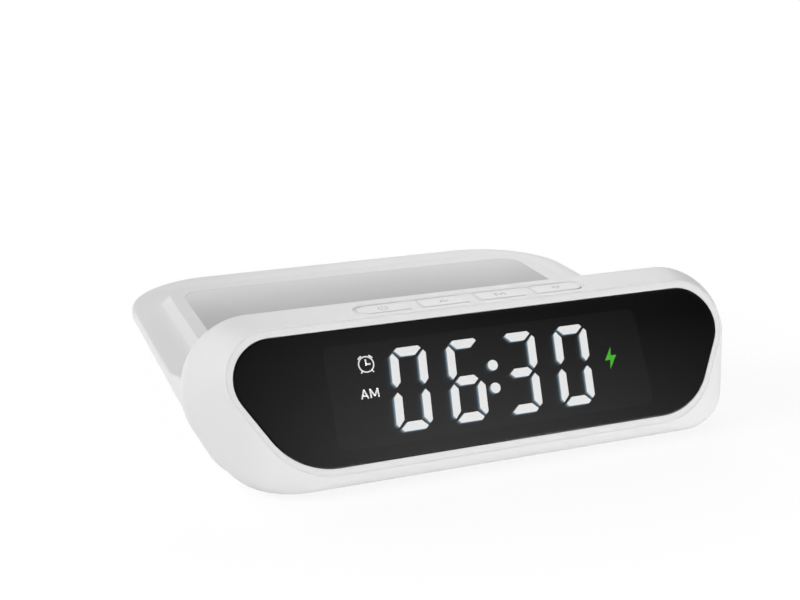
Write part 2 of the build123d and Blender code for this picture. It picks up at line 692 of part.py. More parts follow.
for side in (-1, 1):
    x = side * LEAD_SPACE / 2
    start = coil_y + coil_r
    run = Plane((x, start, lead_z), x_dir=(1, 0, 0), z_dir=(0, 1, 0))
    lead = extrude(run * Circle(LEAD_R), amount=lead_y - start)
    lead += Pos(x, lead_y, lead_z) * Sphere(LEAD_R)
    lead += column(x, lead_y, main_top, lead_z, LEAD_R)
    leads.append(lead)
write("coil_leads", *leads)

# Main board, its chips, the power socket and the buzzer
main_board = block(MAIN_W, main_y - MAIN_D / 2, main_rear, main_low, main_top)
for side in (-1, 1):
    for end in (-1, 1):
        x = side * (MAIN_W / 2 - STANDOFF_SET)
        y = main_y + end * (MAIN_D / 2 - STANDOFF_SET)
        main_board -= column(x, y, main_low - LAP, main_top + LAP, small_hole)
write("main_board", main_board)
chips = []
for place, size in zip(CHIP_PLACE_SHARES, CHIP_SIZE_SHARES):
    front = main_y + MAIN_D * (place[1] - size[1] / 2)
    rear = main_y + MAIN_D * (place[1] + size[1] / 2)
    chips.append(block(MAIN_W * size[0], front, rear, main_top, main_top + CHIP_H * size[2], MAIN_W * place[0]))
write("board_chips", *chips)
mouth = Plane((0, niche_back, socket_z), x_dir=(1, 0, 0), z_dir=(0, 1, 0))
shell_plan = RectangleRounded(SOCKET_W, SOCKET_H, SOCKET_H * KEY_END_SHARE)
inner_h = SOCKET_H - 2 * SOCKET_SKIN
inner_plan = RectangleRounded(SOCKET_W - 2 * SOCKET_SKIN, inner_h, inner_h * KEY_END_SHARE)
socket = extrude(mouth * shell_plan, amount=-SOCKET_D)
socket -= extrude(mouth * inner_plan, amount=-(SOCKET_D - SOCKET_BACK))
tongue_plan = Rectangle(SOCKET_W - SOCKET_H, SOCKET_TONGUE_T)
socket += extrude(mouth.offset(-SOCKET_BACK) * tongue_plan, amount=-(SOCKET_D - 2 * SOCKET_BACK + LAP))
write("power_socket", socket)
buzzer_x = -MAIN_W * BUZZER_X_SHARE
buzzer = column(buzzer_x, buzzer_y, main_top, main_top + BUZZER_H, BUZZER_R)
buzzer -= column(buzzer_x, buzzer_y, main_top + BUZZER_H - BUZZER_HOLE_D, main_top + BUZZER_H + LAP, BUZZER_HOLE_R)
write("buzzer", buzzer)


def ribbon(points, x, width):
    """Flat cable: a bent strip through points in the YZ plane, given a width along X."""
    half = RIBBON_T / 2
    upper = []
    lower = []
    for index, point in enumerate(points):
        before_point = points[max(index - 1, 0)]
        after_point = points[min(index + 1, len(points) - 1)]
        turns = []
        for a, b in ((before_point, point), (point, after_point)):
            length = math.hypot(b[0] - a[0], b[1] - a[1])
            if length > 0:
                turns.append((-(b[1] - a[1]) / length, (b[0] - a[0]) / length))
        normal_y = sum(turn[0] for turn in turns) / len(turns)
        normal_z = sum(turn[1] for turn in turns) / len(turns)
        spread = half / (normal_y * normal_y + normal_z * normal_z)
        upper.append((point[0] + normal_y * spread, point[1] + normal_z * spread))
        lower.append((point[0] - normal_y * spread, point[1] - normal_z * spread))
    strip = Plane((x - width / 2, 0, 0), x_dir=(0, 1, 0), z_dir=(1, 0, 0))
    plan = make_face(Polyline(*upper, *reversed(lower), close=True))
    return extrude(strip * plan, amount=width)


half_ribbon = RIBBON_T / 2
rise_low = -DISPLAY_BOARD_H / 2 - DISPLAY_DROP
main_front = main_y - MAIN_D / 2
display_path = (
    spot(rise_low + 2 * RIBBON_REST / 2 + RIBBON_REST / 2, display_board_back + half_ribbon),
    spot(rise_low + RIBBON_REST / 2, display_board_back + half_ribbon),
    (cross_y(INNER_PLANE, gate_z), gate_z),
    (cross_y(REAR_PLANE, gate_z), gate_z),
    (main_front - RIBBON_REST, gate_z),
    (main_front, main_top + half_ribbon),
    (main_front + RIBBON_REST, main_top + half_ribbon),
)
write("display_ribbon", ribbon(display_path, RIBBON_X, RIBBON_W))
rise_high = DISPLAY_BOARD_H / 2 - DISPLAY_DROP
key_path = (
    (key_y - RIBBON_REST / 2, key_board_low - half_ribbon),
    (key_y + RIBBON_REST / 2, key_board_low - half_ribbon),
    (key_y + RIBBON_REST / 2, key_board_low - half_ribbon - RIBBON_HANG),
    spot(rise_high - RIBBON_REST / 2, display_board_back + half_ribbon),
    spot(rise_high - 3 * RIBBON_REST / 2, display_board_back + half_ribbon),
)
write("key_ribbon", ribbon(key_path, -RIBBON_X, KEY_RIBBON_W))

# Screws and feet
small_screws = []
for plane in small_spots:
    head = extrude(plane * (Circle(SMALL_HEAD_R) - RegularPolygon(SMALL_SHANK_R, 6)), amount=SMALL_HEAD_H)
    screw = head + extrude(plane * Circle(SMALL_HEAD_R), amount=SMALL_HEAD_H * SOCKET_HEX_SHARE)
    screw += extrude(plane * Circle(SMALL_SHANK_R), amount=-SMALL_SHANK_L)
    small_screws.append(screw)
write("small_screws", *small_screws)
case_screws = []
for side in (-1, 1):
    for end in (-1, 1):
        x = side * CASE_SCREW_X
        y = end * CASE_SCREW_Y
        screw = column(x, y, head_seat - CASE_HEAD_H, head_seat, CASE_HEAD_R)
        screw += column(x, y, head_seat, head_seat + CASE_SHANK_L, CASE_SHANK_R)
        drive = Pos(x, y, head_seat - CASE_HEAD_H) * RegularPolygon(CASE_SHANK_R, 6)
        screw -= extrude(drive, amount=CASE_HEAD_H * SOCKET_HEX_SHARE)
        case_screws.append(screw)
write("case_screws", *case_screws)
feet = []
for x, y in foot_spots:
    foot = column(x, y, 0, FOOT_T, FOOT_R)
    feet.append(fillet(foot.edges().group_by(Axis.Z)[0], FOOT_EDGE_R))
write("rubber_feet", *feet)
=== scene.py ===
"""Wireless charging alarm clock: smooth surfaces, finishes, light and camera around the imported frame."""

import logging
import math
from dataclasses import dataclass, field
from enum import Enum
from typing import Any, Dict, List, Optional, Sequence, Tuple

import bmesh
import bpy
import numpy as np
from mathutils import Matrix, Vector


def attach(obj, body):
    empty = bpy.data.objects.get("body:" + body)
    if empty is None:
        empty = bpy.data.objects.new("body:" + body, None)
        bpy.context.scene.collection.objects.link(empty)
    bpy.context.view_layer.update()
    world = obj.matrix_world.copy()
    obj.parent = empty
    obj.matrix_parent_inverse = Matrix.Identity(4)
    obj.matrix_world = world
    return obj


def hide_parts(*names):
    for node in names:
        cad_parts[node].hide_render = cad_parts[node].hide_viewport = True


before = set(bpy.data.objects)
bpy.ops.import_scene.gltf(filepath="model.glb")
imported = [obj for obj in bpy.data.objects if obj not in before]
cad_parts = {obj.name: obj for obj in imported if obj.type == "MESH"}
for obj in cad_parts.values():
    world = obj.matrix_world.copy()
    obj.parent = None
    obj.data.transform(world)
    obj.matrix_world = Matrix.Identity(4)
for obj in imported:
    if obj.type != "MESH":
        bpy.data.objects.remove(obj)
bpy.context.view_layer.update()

LOG = logging.getLogger("alarm_clock")
MM = 0.001
WELD_M = 2e-7
SHARP_EDGE = 40.0
TINY = 1e-9
WHITE = (1.0, 1.0, 1.0, 1.0)

Grid = np.ndarray
Pair = Tuple[float, float]
Colour = Tuple[float, float, float]
Place = Tuple[float, float, float]


class Body(Enum):
    """Bodies of the frame that a piece can ride on."""

    HOUSING = "housing"
    POWER = "power_key"
    UP = "up_key"
    MODE = "mode_key"
    DOWN = "down_key"


@dataclass
class Patch:
    """Points in millimetres and the faces between them."""

    points: Grid
    faces: List[List[int]]

    @staticmethod
    def from_stations(
        stations: Sequence[Grid], wrap: bool, first_cap: bool = False, last_cap: bool = False
    ) -> "Patch":
        """Surface P(u, v) whose v rows are the stations and whose u runs along each of them.

        The face between rows j, j+1 and columns i, i+1 is turned so that its outside is du x dv.

        Args:
            stations: Rows of points, each of the same count.
            wrap: True where the last column joins the first.
            first_cap: Close the first row with one flat face.
            last_cap: Close the last row with one flat face.

        Returns:
            The patch.
        """
        rows = np.stack(stations)
        count, width = rows.shape[:2]
        index = np.arange(count * width).reshape(count, width)
        ahead = np.roll(index, -1, axis=1)
        columns = width if wrap else width - 1
        quads = np.stack([index[:-1], ahead[:-1], ahead[1:], index[1:]], axis=-1)[:, :columns]
        faces = quads.reshape(-1, 4).tolist()
        if first_cap:
            faces.append(index[0, ::-1].tolist())
        if last_cap:
            faces.append(index[-1].tolist())
        return Patch(rows.reshape(-1, 3), faces)

    @staticmethod
    def capped(stations: Sequence[Grid]) -> "Patch":
        """Closed surface through loops, with a flat face at both ends."""
        return Patch.from_stations(stations, True, first_cap=True, last_cap=True)

    @staticmethod
    def joined(patches: Sequence["Patch"]) -> "Patch":
        """One patch from several, with the face numbers moved on.

        Args:
            patches: Patches in the order of their points.

        Returns:
            The patch of all of them.
        """
        shifts = np.cumsum([0] + [len(patch.points) for patch in patches[:-1]])
        pairs = [(face, shift) for patch, shift in zip(patches, shifts) for face in patch.faces]
        faces = [[int(i + shift) for i in face] for face, shift in pairs]
        return Patch(np.concatenate([patch.points for patch in patches]), faces)


def make_piece(
    name: str,
    patch: Patch,
    material: bpy.types.Material,
    body: Body,
    replaces: Sequence[str] = (),
    solid: float = 0.0,
) -> bpy.types.Object:
    """Turn a patch into a piece of the clock: welded, smooth, dressed and riding on its body.

    Args:
        name: Name of the piece.
        patch: Its surface in millimetres.
        material: Its finish.
        body: Body of the frame that carries it.
        replaces: Nodes of the frame that it stands for.
        solid: Thickness in millimetres that a flat sheet gets.

    Returns:
        The new object.
    """
    mesh = bpy.data.meshes.new(name)
    mesh.from_pydata((patch.points * MM).tolist(), [], patch.faces)
    shape = bmesh.new()
    shape.from_mesh(mesh)
    bmesh.ops.remove_doubles(shape, verts=shape.verts, dist=WELD_M)
    shape.to_mesh(mesh)
    shape.free()
    mesh.validate()
    mesh.polygons.foreach_set("use_smooth", np.ones(len(mesh.polygons), dtype=bool))
    mesh.set_sharp_from_angle(angle=math.radians(SHARP_EDGE))
    piece = bpy.data.objects.new(name, mesh)
    bpy.context.scene.collection.objects.link(piece)
    mesh.materials.append(material)
    if solid:
        sheet = piece.modifiers.new("thickness", "SOLIDIFY")
        sheet.thickness = solid * MM
        sheet.offset = -1.0
    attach(piece, body.value)
    if replaces:
        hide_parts(*replaces)
    LOG.info("%s: %d points, %d faces", name, len(mesh.vertices), len(mesh.polygons))
    return piece


def arc_steps(count: int) -> Tuple[Grid, Grid]:
    """Sine and cosine of a quarter turn in equal steps."""
    turn = np.linspace(0.0, math.pi / 2, count)
    return np.sin(turn), np.cos(turn)


def arc_drops(count: int, radius: float) -> List[Pair]:
    """Pairs r (1 - sin t), r (1 - cos t): the first closes from r to 0, the second opens from 0 to r."""
    sin, cos = arc_steps(count)
    return list(zip(radius * (1 - sin), radius * (1 - cos)))


def rounded_corner(first: Grid, corner: Grid, last: Grid, shares: Grid) -> List[Grid]:
    """Rows of the quadratic arc (1-t)^2 P + 2t(1-t) Q + t^2 R, which rounds a corner Q."""
    return [first * (1 - t) ** 2 + 2 * t * (1 - t) * corner + t * t * last for t in shares]


def level(flat: Grid, height: float) -> Grid:
    """Points of a plan lifted to one height."""
    return np.column_stack([flat, np.full(len(flat), height)])


CORNER_N, SIDE_N, REAR_N = 25, 25, 41
RUN_U = 2 * (SIDE_N - 1) + 2 * CORNER_N + REAR_N - 2


def plan_loop(half: float, front: float, rear: float, r_rear: float, r_front: float) -> Grid:
    """Rounded rectangle in plan, counterclockwise from above, from the right front corner.

    Each run is a straight blend of its ends, each corner is centre + r (cos t, sin t).

    Args:
        half: Half of the width.
        front: Y of the front side.
        rear: Y of the rear side.
        r_rear: Radius of the rear corners.
        r_front: Radius of the front corners.

    Returns:
        Points of the loop; its first RUN_U points are the sides and the rear.
    """
    quarter = math.pi / 2
    turn = np.linspace(0.0, quarter, CORNER_N)
    side = np.linspace(0.0, 1.0, SIDE_N)[:-1]
    across = np.linspace(1.0, -1.0, REAR_N)[1:-1]
    length = rear - r_rear - front - r_front

    def corner(cx: float, cy: float, r: float, start: float) -> Grid:
        """Arc of one corner from an angle on."""
        return np.column_stack([cx + r * np.cos(turn + start), cy + r * np.sin(turn + start)])

    right = np.column_stack([np.full(SIDE_N - 1, half), front + r_front + side * length])
    left = np.column_stack([np.full(SIDE_N - 1, -half), right[::-1, 1]])
    back = np.column_stack([across * (half - r_rear), np.full(REAR_N - 2, rear)])
    foot = np.column_stack([-across * (half - r_front), np.full(REAR_N - 2, front)])
    runs = [
        right,
        corner(half - r_rear, rear - r_rear, r_rear, 0.0),
        back,
        corner(-half + r_rear, rear - r_rear, r_rear, quarter),
        left,
        corner(-half + r_front, front + r_front, r_front, 2 * quarter),
        foot,
        corner(half - r_front, front + r_front, r_front, 3 * quarter)[:-1],
    ]
    return np.concatenate(runs)


@dataclass(frozen=True)
class Outline:
    """Rounded trapezoid on a leaning plane; sizes in millimetres, flare in degrees."""

    top: float
    bottom: float
    half: float
    flare: float
    r_top: float
    r_bottom: float

    END_N, MIDDLE_N, HIGH_N, LOW_N, LINE_N, SOLE_N = 9, 67, 29, 33, 14, 61
    MIDDLE_SHARE = 0.66
    WINDOW_COLUMNS = (END_N - 1, END_N + MIDDLE_N - 2)

    def top_shares(self) -> Grid:
        """Shares of the top line from left to right, close together over the key recess.

        Returns:
            Shares from -1 to 1.
        """
        end = np.linspace(self.MIDDLE_SHARE, 1, self.END_N)[1:]
        middle = np.linspace(-self.MIDDLE_SHARE, self.MIDDLE_SHARE, self.MIDDLE_N)
        return np.concatenate([np.linspace(-1, -self.MIDDLE_SHARE, self.END_N)[:-1], middle, end])

    def grown(self, amount: float) -> "Outline":
        """Outline moved outward by the same amount all round.

        Args:
            amount: Distance in millimetres, negative to the inside.

        Returns:
            The new outline.
        """
        return Outline(
            self.top + amount,
            self.bottom - amount,
            self.half + amount / math.cos(math.radians(self.flare)),
            self.flare,
            self.r_top + amount,
            self.r_bottom + amount,
        )

    def trace(self) -> Tuple[Grid, Grid]:
        """Points (x, s) and outward directions, clockwise from the front, from the top left on.

        Lines are blends of their ends; a corner is centre + r (cos t, sin t), with t from the
        direction of one side's outside to that of the next.

        Returns:
            Points and unit directions.
        """
        phi = math.radians(self.flare)
        cut_top = self.r_top / math.tan((math.pi / 2 - phi) / 2)
        cut_low = self.r_bottom / math.tan((math.pi / 2 + phi) / 2)
        head = self.half + self.top * math.tan(phi) - cut_top
        foot = self.half + self.bottom * math.tan(phi) - cut_low
        high = np.linspace(math.pi / 2, -phi, self.HIGH_N)[1:]
        low = np.linspace(-phi, -math.pi / 2, self.LOW_N)
        lines = np.linspace(0, 1, self.LINE_N)[1:-1, None]
        d_high = np.column_stack([np.cos(high), np.sin(high)])
        d_low = np.column_stack([np.cos(low), np.sin(low)])
        p_high = np.array([head, self.top - self.r_top]) + self.r_top * d_high
        p_low = np.array([foot, self.bottom + self.r_bottom]) + self.r_bottom * d_low
        p_side = p_high[-1] + lines * (p_low[0] - p_high[-1])
        d_side = np.repeat(d_low[:1], len(lines), axis=0)
        p_right = np.concatenate([p_high, p_side, p_low])
        d_right = np.concatenate([d_high, d_side, d_low])
        flip = np.array([-1.0, 1.0])
        sole = np.linspace(1, -1, self.SOLE_N)[1:-1]
        shares = self.top_shares()
        p_top = np.column_stack([shares * head, np.full(len(shares), self.top)])
        p_sole = np.column_stack([sole * foot, np.full(len(sole), self.bottom)])
        d_top = np.repeat([[0.0, 1.0]], len(p_top), axis=0)
        d_sole = np.repeat([[0.0, -1.0]], len(p_sole), axis=0)
        points = np.concatenate([p_top, p_right, p_sole, p_right[::-1] * flip])
        return points, np.concatenate([d_top, d_right, d_sole, d_right[::-1] * flip])

    def points(self) -> Grid:
        """Points of the outline alone."""
        return self.trace()[0]


@dataclass(frozen=True)
class LeaningPlane:
    """Plane through (0, y, z) that leans back by an angle in degrees."""

    y: float
    z: float
    lean: float

    @property
    def back(self) -> Grid:
        """Direction straight back from the plane."""
        turn = math.radians(self.lean)
        return np.array([0.0, math.cos(turn), -math.sin(turn)])

    def along(self, flat: Grid) -> Grid:
        """Direction (x, s) of the plane in space: (x, s sin, s cos)."""
        turn = math.radians(self.lean)
        return np.column_stack([flat[:, 0], flat[:, 1] * math.sin(turn), flat[:, 1] * math.cos(turn)])

    def place(self, flat: Grid, depth: float = 0.0) -> Grid:
        """Points (x, s) of the plane in space, moved back by a depth."""
        return np.array([0.0, self.y, self.z]) + self.along(flat) + depth * self.back


@dataclass(frozen=True)
class FaceFrame:
    """Sizes of the leaning face that several pieces share."""

    window: Outline = Outline(14.0, -14.8, 55.59, 30.33, 8.87, 15.5)
    ring: Outline = Outline(15.9, -16.6, 57.1541, 30.33, 10.42, 17.05)
    swell: Outline = Outline(17.9222, -18.47, 59.3541, 18.5, 11.2, 12.55)
    cheek: Outline = Outline(21.7107, -13.65, 64.6041, 26.0, 15.8, 12.8)
    face: LeaningPlane = LeaningPlane(-52.9265, 19.0, 31.5)
    cheek_plane: LeaningPlane = LeaningPlane(-43.2065, 13.0436, 26.0)
    swell_depth: float = 3.3
    pane: float = 1.2
    seat: float = 1.4
    seat_w: float = 1.5
    lip: float = 0.3
    seam: float = 0.03
    drop: float = 0.45
    top_z: float = 32.5569
    key_y: float = -39.7188


FACE = FaceFrame()


class Blend(Enum):
    """Kinds of mix node: data type, the numbers of its two inputs and the number of its output."""

    NUMBERS = ("FLOAT", 2, 3, 0)
    COLOURS = ("RGBA", 6, 7, 2)


def feed(tree: Any, node: Any, inputs: Dict[Any, Any]) -> None:
    """Feed a node's inputs: another node's socket is linked, any other value is set.

    Args:
        tree: Node tree that holds the node.
        node: The node.
        inputs: Sockets or values, by the input's name or number.
    """
    for label, value in inputs.items():
        if isinstance(value, bpy.types.NodeSocket):
            tree.links.new(value, node.inputs[label])
        else:
            node.inputs[label].default_value = value


def add_node(tree: Any, kind: str, inputs: Optional[Dict[Any, Any]] = None, **settings: Any) -> Any:
    """New shader node with its settings made and its inputs fed.

    Args:
        tree: Node tree that gets the node.
        kind: Kind of node, without the word ShaderNode.
        inputs: Sockets or values, by the input's name or number.
        settings: Attributes of the node.

    Returns:
        The node.
    """
    node = tree.nodes.new("ShaderNode" + kind)
    for label, value in settings.items():
        setattr(node, label, value)
    feed(tree, node, inputs or {})
    return node


def add_mix(tree: Any, blend: Blend, share: Any, low: Any, high: Any) -> Any:
    """Mix of two sockets or values by a share.

    Args:
        tree: Node tree that gets the mix.
        blend: Numbers or colours.
        share: Socket of the share, or its value.
        low: What share 0 gives.
        high: What share 1 gives.

    Returns:
        Socket of the mix.
    """
    kind, first, last, result = blend.value
    return add_node(tree, "Mix", {0: share, first: low, last: high}, data_type=kind).outputs[result]


def add_math(tree: Any, operation: str, *values: Any) -> Any:
    """Socket of an operation on sockets or values."""
    return add_node(tree, "Math", dict(enumerate(values)), operation=operation).outputs[0]


def add_range(tree: Any, value: Any, span: Pair, result: Pair, kind: str = "LINEAR") -> Any:
    """Value taken from one span to another.

    Args:
        tree: Node tree that gets the node.
        value: Socket of the value.
        span: Ends of the value's span.
        result: What the two ends give.
        kind: Interpolation between them.

    Returns:
        Socket of the result.
    """
    ends = {"From Min": span[0], "From Max": span[1], "To Min": result[0], "To Max": result[1]}
    node = add_node(tree, "MapRange", {"Value": value, **ends}, interpolation_type=kind)
    return node.outputs["Result"]


def new_material(name: str) -> Tuple[bpy.types.Material, Any, Any]:
    """Empty node material with its shader.

    Args:
        name: Name of the finish.

    Returns:
        The material, its node tree and its Principled shader.
    """
    material = bpy.data.materials.new(name)
    material.use_nodes = True
    return material, material.node_tree, material.node_tree.nodes["Principled BSDF"]


class Shared:
    """Shader node groups that several finishes use, each built once."""

    built: Dict[str, bpy.types.NodeTree] = {}

    NUMBER, COLOUR, VECTOR = "NodeSocketFloat", "NodeSocketColor", "NodeSocketVector"
    INPUTS = {"Low Colour": COLOUR, "High Colour": COLOUR, "Low Rough": NUMBER, "High Rough": NUMBER}
    OUTPUTS = {"Colour": COLOUR, "Roughness": NUMBER, "Height": NUMBER}
    FINE_DETAIL, BROAD_DETAIL = 2.0, 4.0
    SPECK = 0.45

    @classmethod
    def _start(cls, name: str, own: Dict[str, str]) -> Tuple[Any, Any]:
        """New node group with its own inputs and the sockets that every group has.

        Args:
            name: Name of the group.
            own: Kind of each input of its own, by name.

        Returns:
            The tree and the sockets of its input node.
        """
        tree = bpy.data.node_groups.new(name, "ShaderNodeTree")
        for label, kind in {**own, **cls.INPUTS}.items():
            tree.interface.new_socket(label, in_out="INPUT", socket_type=kind)
        for label, kind in cls.OUTPUTS.items():
            tree.interface.new_socket(label, in_out="OUTPUT", socket_type=kind)
        cls.built[name] = tree
        return tree, tree.nodes.new("NodeGroupInput").outputs

    @staticmethod
    def _end(tree: Any, given: Any, tint: Any, rough: Any, height: Any) -> None:
        """Mix the given colours and roughnesses, and put out all three values.

        Args:
            tree: Node tree of the group.
            given: Sockets of its input node.
            tint: Socket of the colour's share.
            rough: Socket of the roughness's share.
            height: Socket of the height.
        """
        colour = add_mix(tree, Blend.COLOURS, tint, given["Low Colour"], given["High Colour"])
        roughness = add_mix(tree, Blend.NUMBERS, rough, given["Low Rough"], given["High Rough"])
        out = tree.nodes.new("NodeGroupOutput")
        feed(tree, out, {"Colour": colour, "Roughness": roughness, "Height": height})

    @classmethod
    def grain(cls) -> bpy.types.NodeTree:
        """Moulded grain: fine noise for height, broad noise for roughness, both for colour.

        Returns:
            The group.
        """
        name = "moulded_grain"
        if name not in cls.built:
            tree, given = cls._start(name, {"Grain": cls.NUMBER, "Patch": cls.NUMBER})
            place = add_node(tree, "TexCoord").outputs["Object"]
            fine, broad = (
                add_node(tree, "TexNoise", {"Vector": place, "Scale": given[scale], "Detail": detail})
                for scale, detail in (("Grain", cls.FINE_DETAIL), ("Patch", cls.BROAD_DETAIL))
            )
            height, patch = fine.outputs["Fac"], broad.outputs["Fac"]
            speck = add_mix(tree, Blend.NUMBERS, cls.SPECK, patch, height)
            cls._end(tree, given, speck, patch, height)
        return cls.built[name]

    @classmethod
    def drawn(cls) -> bpy.types.NodeTree:
        """Drawn or wound metal: noise stretched along one axis.

        Returns:
            The group.
        """
        name = "drawn_metal"
        if name not in cls.built:
            tree, given = cls._start(name, {"Stretch": cls.VECTOR})
            place = add_node(tree, "TexCoord").outputs["Object"]
            spread = add_node(tree, "VectorMath", {0: place, 1: given["Stretch"]}, operation="MULTIPLY")
            noise = add_node(tree, "TexNoise", {"Vector": spread.outputs[0], "Scale": 1.0}).outputs["Fac"]
            cls._end(tree, given, noise, noise, noise)
        return cls.built[name]


def lay_grain(tree: Any, shader: Any, group: bpy.types.NodeTree, finish: Any, own: Dict[str, Any]) -> Any:
    """Place a shared group with a finish's values, and feed its roughness and bump to the shader.

    Args:
        tree: Node tree of the material.
        shader: Its Principled shader.
        group: The shared group.
        finish: Finish with low, high, rough, bump and bump_mm.
        own: Values of the group's own inputs.

    Returns:
        Socket of the group's colour.
    """
    low_rough, high_rough = finish.rough
    given = {
        "Low Colour": (*finish.low, 1),
        "High Colour": (*finish.high, 1),
        "Low Rough": low_rough,
        "High Rough": high_rough,
    }
    grain = add_node(tree, "Group", {**own, **given}, node_tree=group).outputs
    height = {"Strength": finish.bump, "Distance": finish.bump_mm * MM, "Height": grain["Height"]}
    lift = add_node(tree, "Bump", height)
    feed(tree, shader, {"Roughness": grain["Roughness"], "Normal": lift.outputs["Normal"]})
    return grain["Colour"]


@dataclass(frozen=True)
class Plastic:
    """Moulded plastic or rubber with fine grain, which may carry a painted glow or a painted shadow; scales
    are in cycles per metre, the painted shadow's span in metres.
    """

    name: str
    low: Colour
    high: Colour
    rough: Pair = (0.42, 0.52)
    grain: float = 3200.0
    patch: float = 45.0
    bump: float = 0.15
    bump_mm: float = 0.02
    specular: float = 0.4
    # A glow above zero is painted light: faint white emission on a part that is no lamp.
    glow: float = 0.0
    # Painted shadow: below this span along y the colour is the shaded one.
    shadow_span: Optional[Pair] = None
    unshadowed_colour: Colour = (1.0, 1.0, 1.0)

    def painted_shadow(self, tree: Any, colour: Any) -> Any:
        """Painted shadow: the plain colour, which is the shaded one, turns into the unshadowed colour along
        y, smoothly over the shadow's span.

        Args:
            tree: Node tree of the material.
            colour: Socket of the plain colour, the shaded one.

        Returns:
            Socket of the colour with its painted shadow.
        """
        place = add_node(tree, "TexCoord").outputs["Object"]
        axes = add_node(tree, "SeparateXYZ", {"Vector": place}).outputs
        share = add_range(tree, axes["Y"], self.shadow_span, (0.0, 1.0), "SMOOTHSTEP")
        return add_mix(tree, Blend.COLOURS, share, colour, (*self.unshadowed_colour, 1))

    def material(self) -> bpy.types.Material:
        """Build the finish: grain group into colour, roughness and a bump.

        Returns:
            The material.
        """
        material, tree, shader = new_material(self.name)
        scales = {"Grain": self.grain, "Patch": self.patch}
        colour = lay_grain(tree, shader, Shared.grain(), self, scales)
        # Painted shadow: the colour is darker where the housing and a phone above the pad shade it.
        if self.shadow_span:
            colour = self.painted_shadow(tree, colour)
        feed(tree, shader, {"Base Color": colour, "Specular IOR Level": self.specular})
        # Painted glow: faint emission for stray light on a part that is no lamp.
        if self.glow:
            feed(tree, shader, {"Emission Color": WHITE, "Emission Strength": self.glow})
        return material


@dataclass(frozen=True)
class Metal:
    """Plated, drawn or wound metal; the stretch is in cycles per metre."""

    name: str
    low: Colour
    high: Colour
    rough: Pair = (0.25, 0.45)
    stretch: Tuple[float, float, float] = (300.0, 3000.0, 3000.0)
    bump: float = 0.1
    bump_mm: float = 0.02

    def material(self) -> bpy.types.Material:
        """Build the finish: drawn group into colour, roughness and a bump.

        Returns:
            The material.
        """
        material, tree, shader = new_material(self.name)
        colour = lay_grain(tree, shader, Shared.drawn(), self, {"Stretch": self.stretch})
        feed(tree, shader, {"Base Color": colour, "Metallic": 1.0})
        return material


@dataclass(frozen=True)
class SmokedPane:
    """Dark see-through pane with a faint haze in its polish."""

    name: str
    tint: Colour
    ior: float = 1.45
    rough: Pair = (0.015, 0.05)
    patch: float = 25.0

    def material(self) -> bpy.types.Material:
        """Build the finish: tinted transmission, roughness from a broad smudge.

        Returns:
            The material.
        """
        material, tree, shader = new_material(self.name)
        low_rough, high_rough = self.rough
        haze = {"Patch": self.patch, "Low Rough": low_rough, "High Rough": high_rough}
        smudge = add_node(tree, "Group", haze, node_tree=Shared.grain())
        feed(tree, shader, {"Base Color": (*self.tint, 1), "Roughness": smudge.outputs["Roughness"]})
        feed(tree, shader, {"Transmission Weight": 1.0, "IOR": self.ior})
        return material


@dataclass(frozen=True)
class Lamp:
    """Lit diffuser whose colour drifts over its face, by grain or by an attribute of its mesh; the bar walls'
    attribute also carries a painted glow beyond the diffusers.
    """

    name: str
    low: Colour
    high: Colour
    strength: float
    attribute: str = ""
    dark: Colour = (0.02, 0.02, 0.022)
    rough: float = 0.6
    grain: float = 900.0
    patch: float = 150.0

    def material(self) -> bpy.types.Material:
        """Build the finish: emission coloured by grain, or by an attribute of the mesh.

        Returns:
            The material.
        """
        material, tree, shader = new_material(self.name)
        low, high = (*self.low, 1), (*self.high, 1)
        if self.attribute:
            share = add_node(tree, "Attribute", attribute_name=self.attribute).outputs["Fac"]
            base = (*self.dark, 1)
        else:
            given = {"Grain": self.grain, "Patch": self.patch, "Low Colour": low, "High Colour": high}
            group = add_node(tree, "Group", given, node_tree=Shared.grain())
            share, base = group.outputs["Height"], group.outputs["Colour"]
        glow = add_mix(tree, Blend.COLOURS, share, low, high)
        feed(tree, shader, {"Base Color": base, "Roughness": self.rough})
        feed(tree, shader, {"Emission Color": glow, "Emission Strength": self.strength})
        return material


def grey(value: float) -> Colour:
    """Neutral colour of one value."""
    return value, value, value


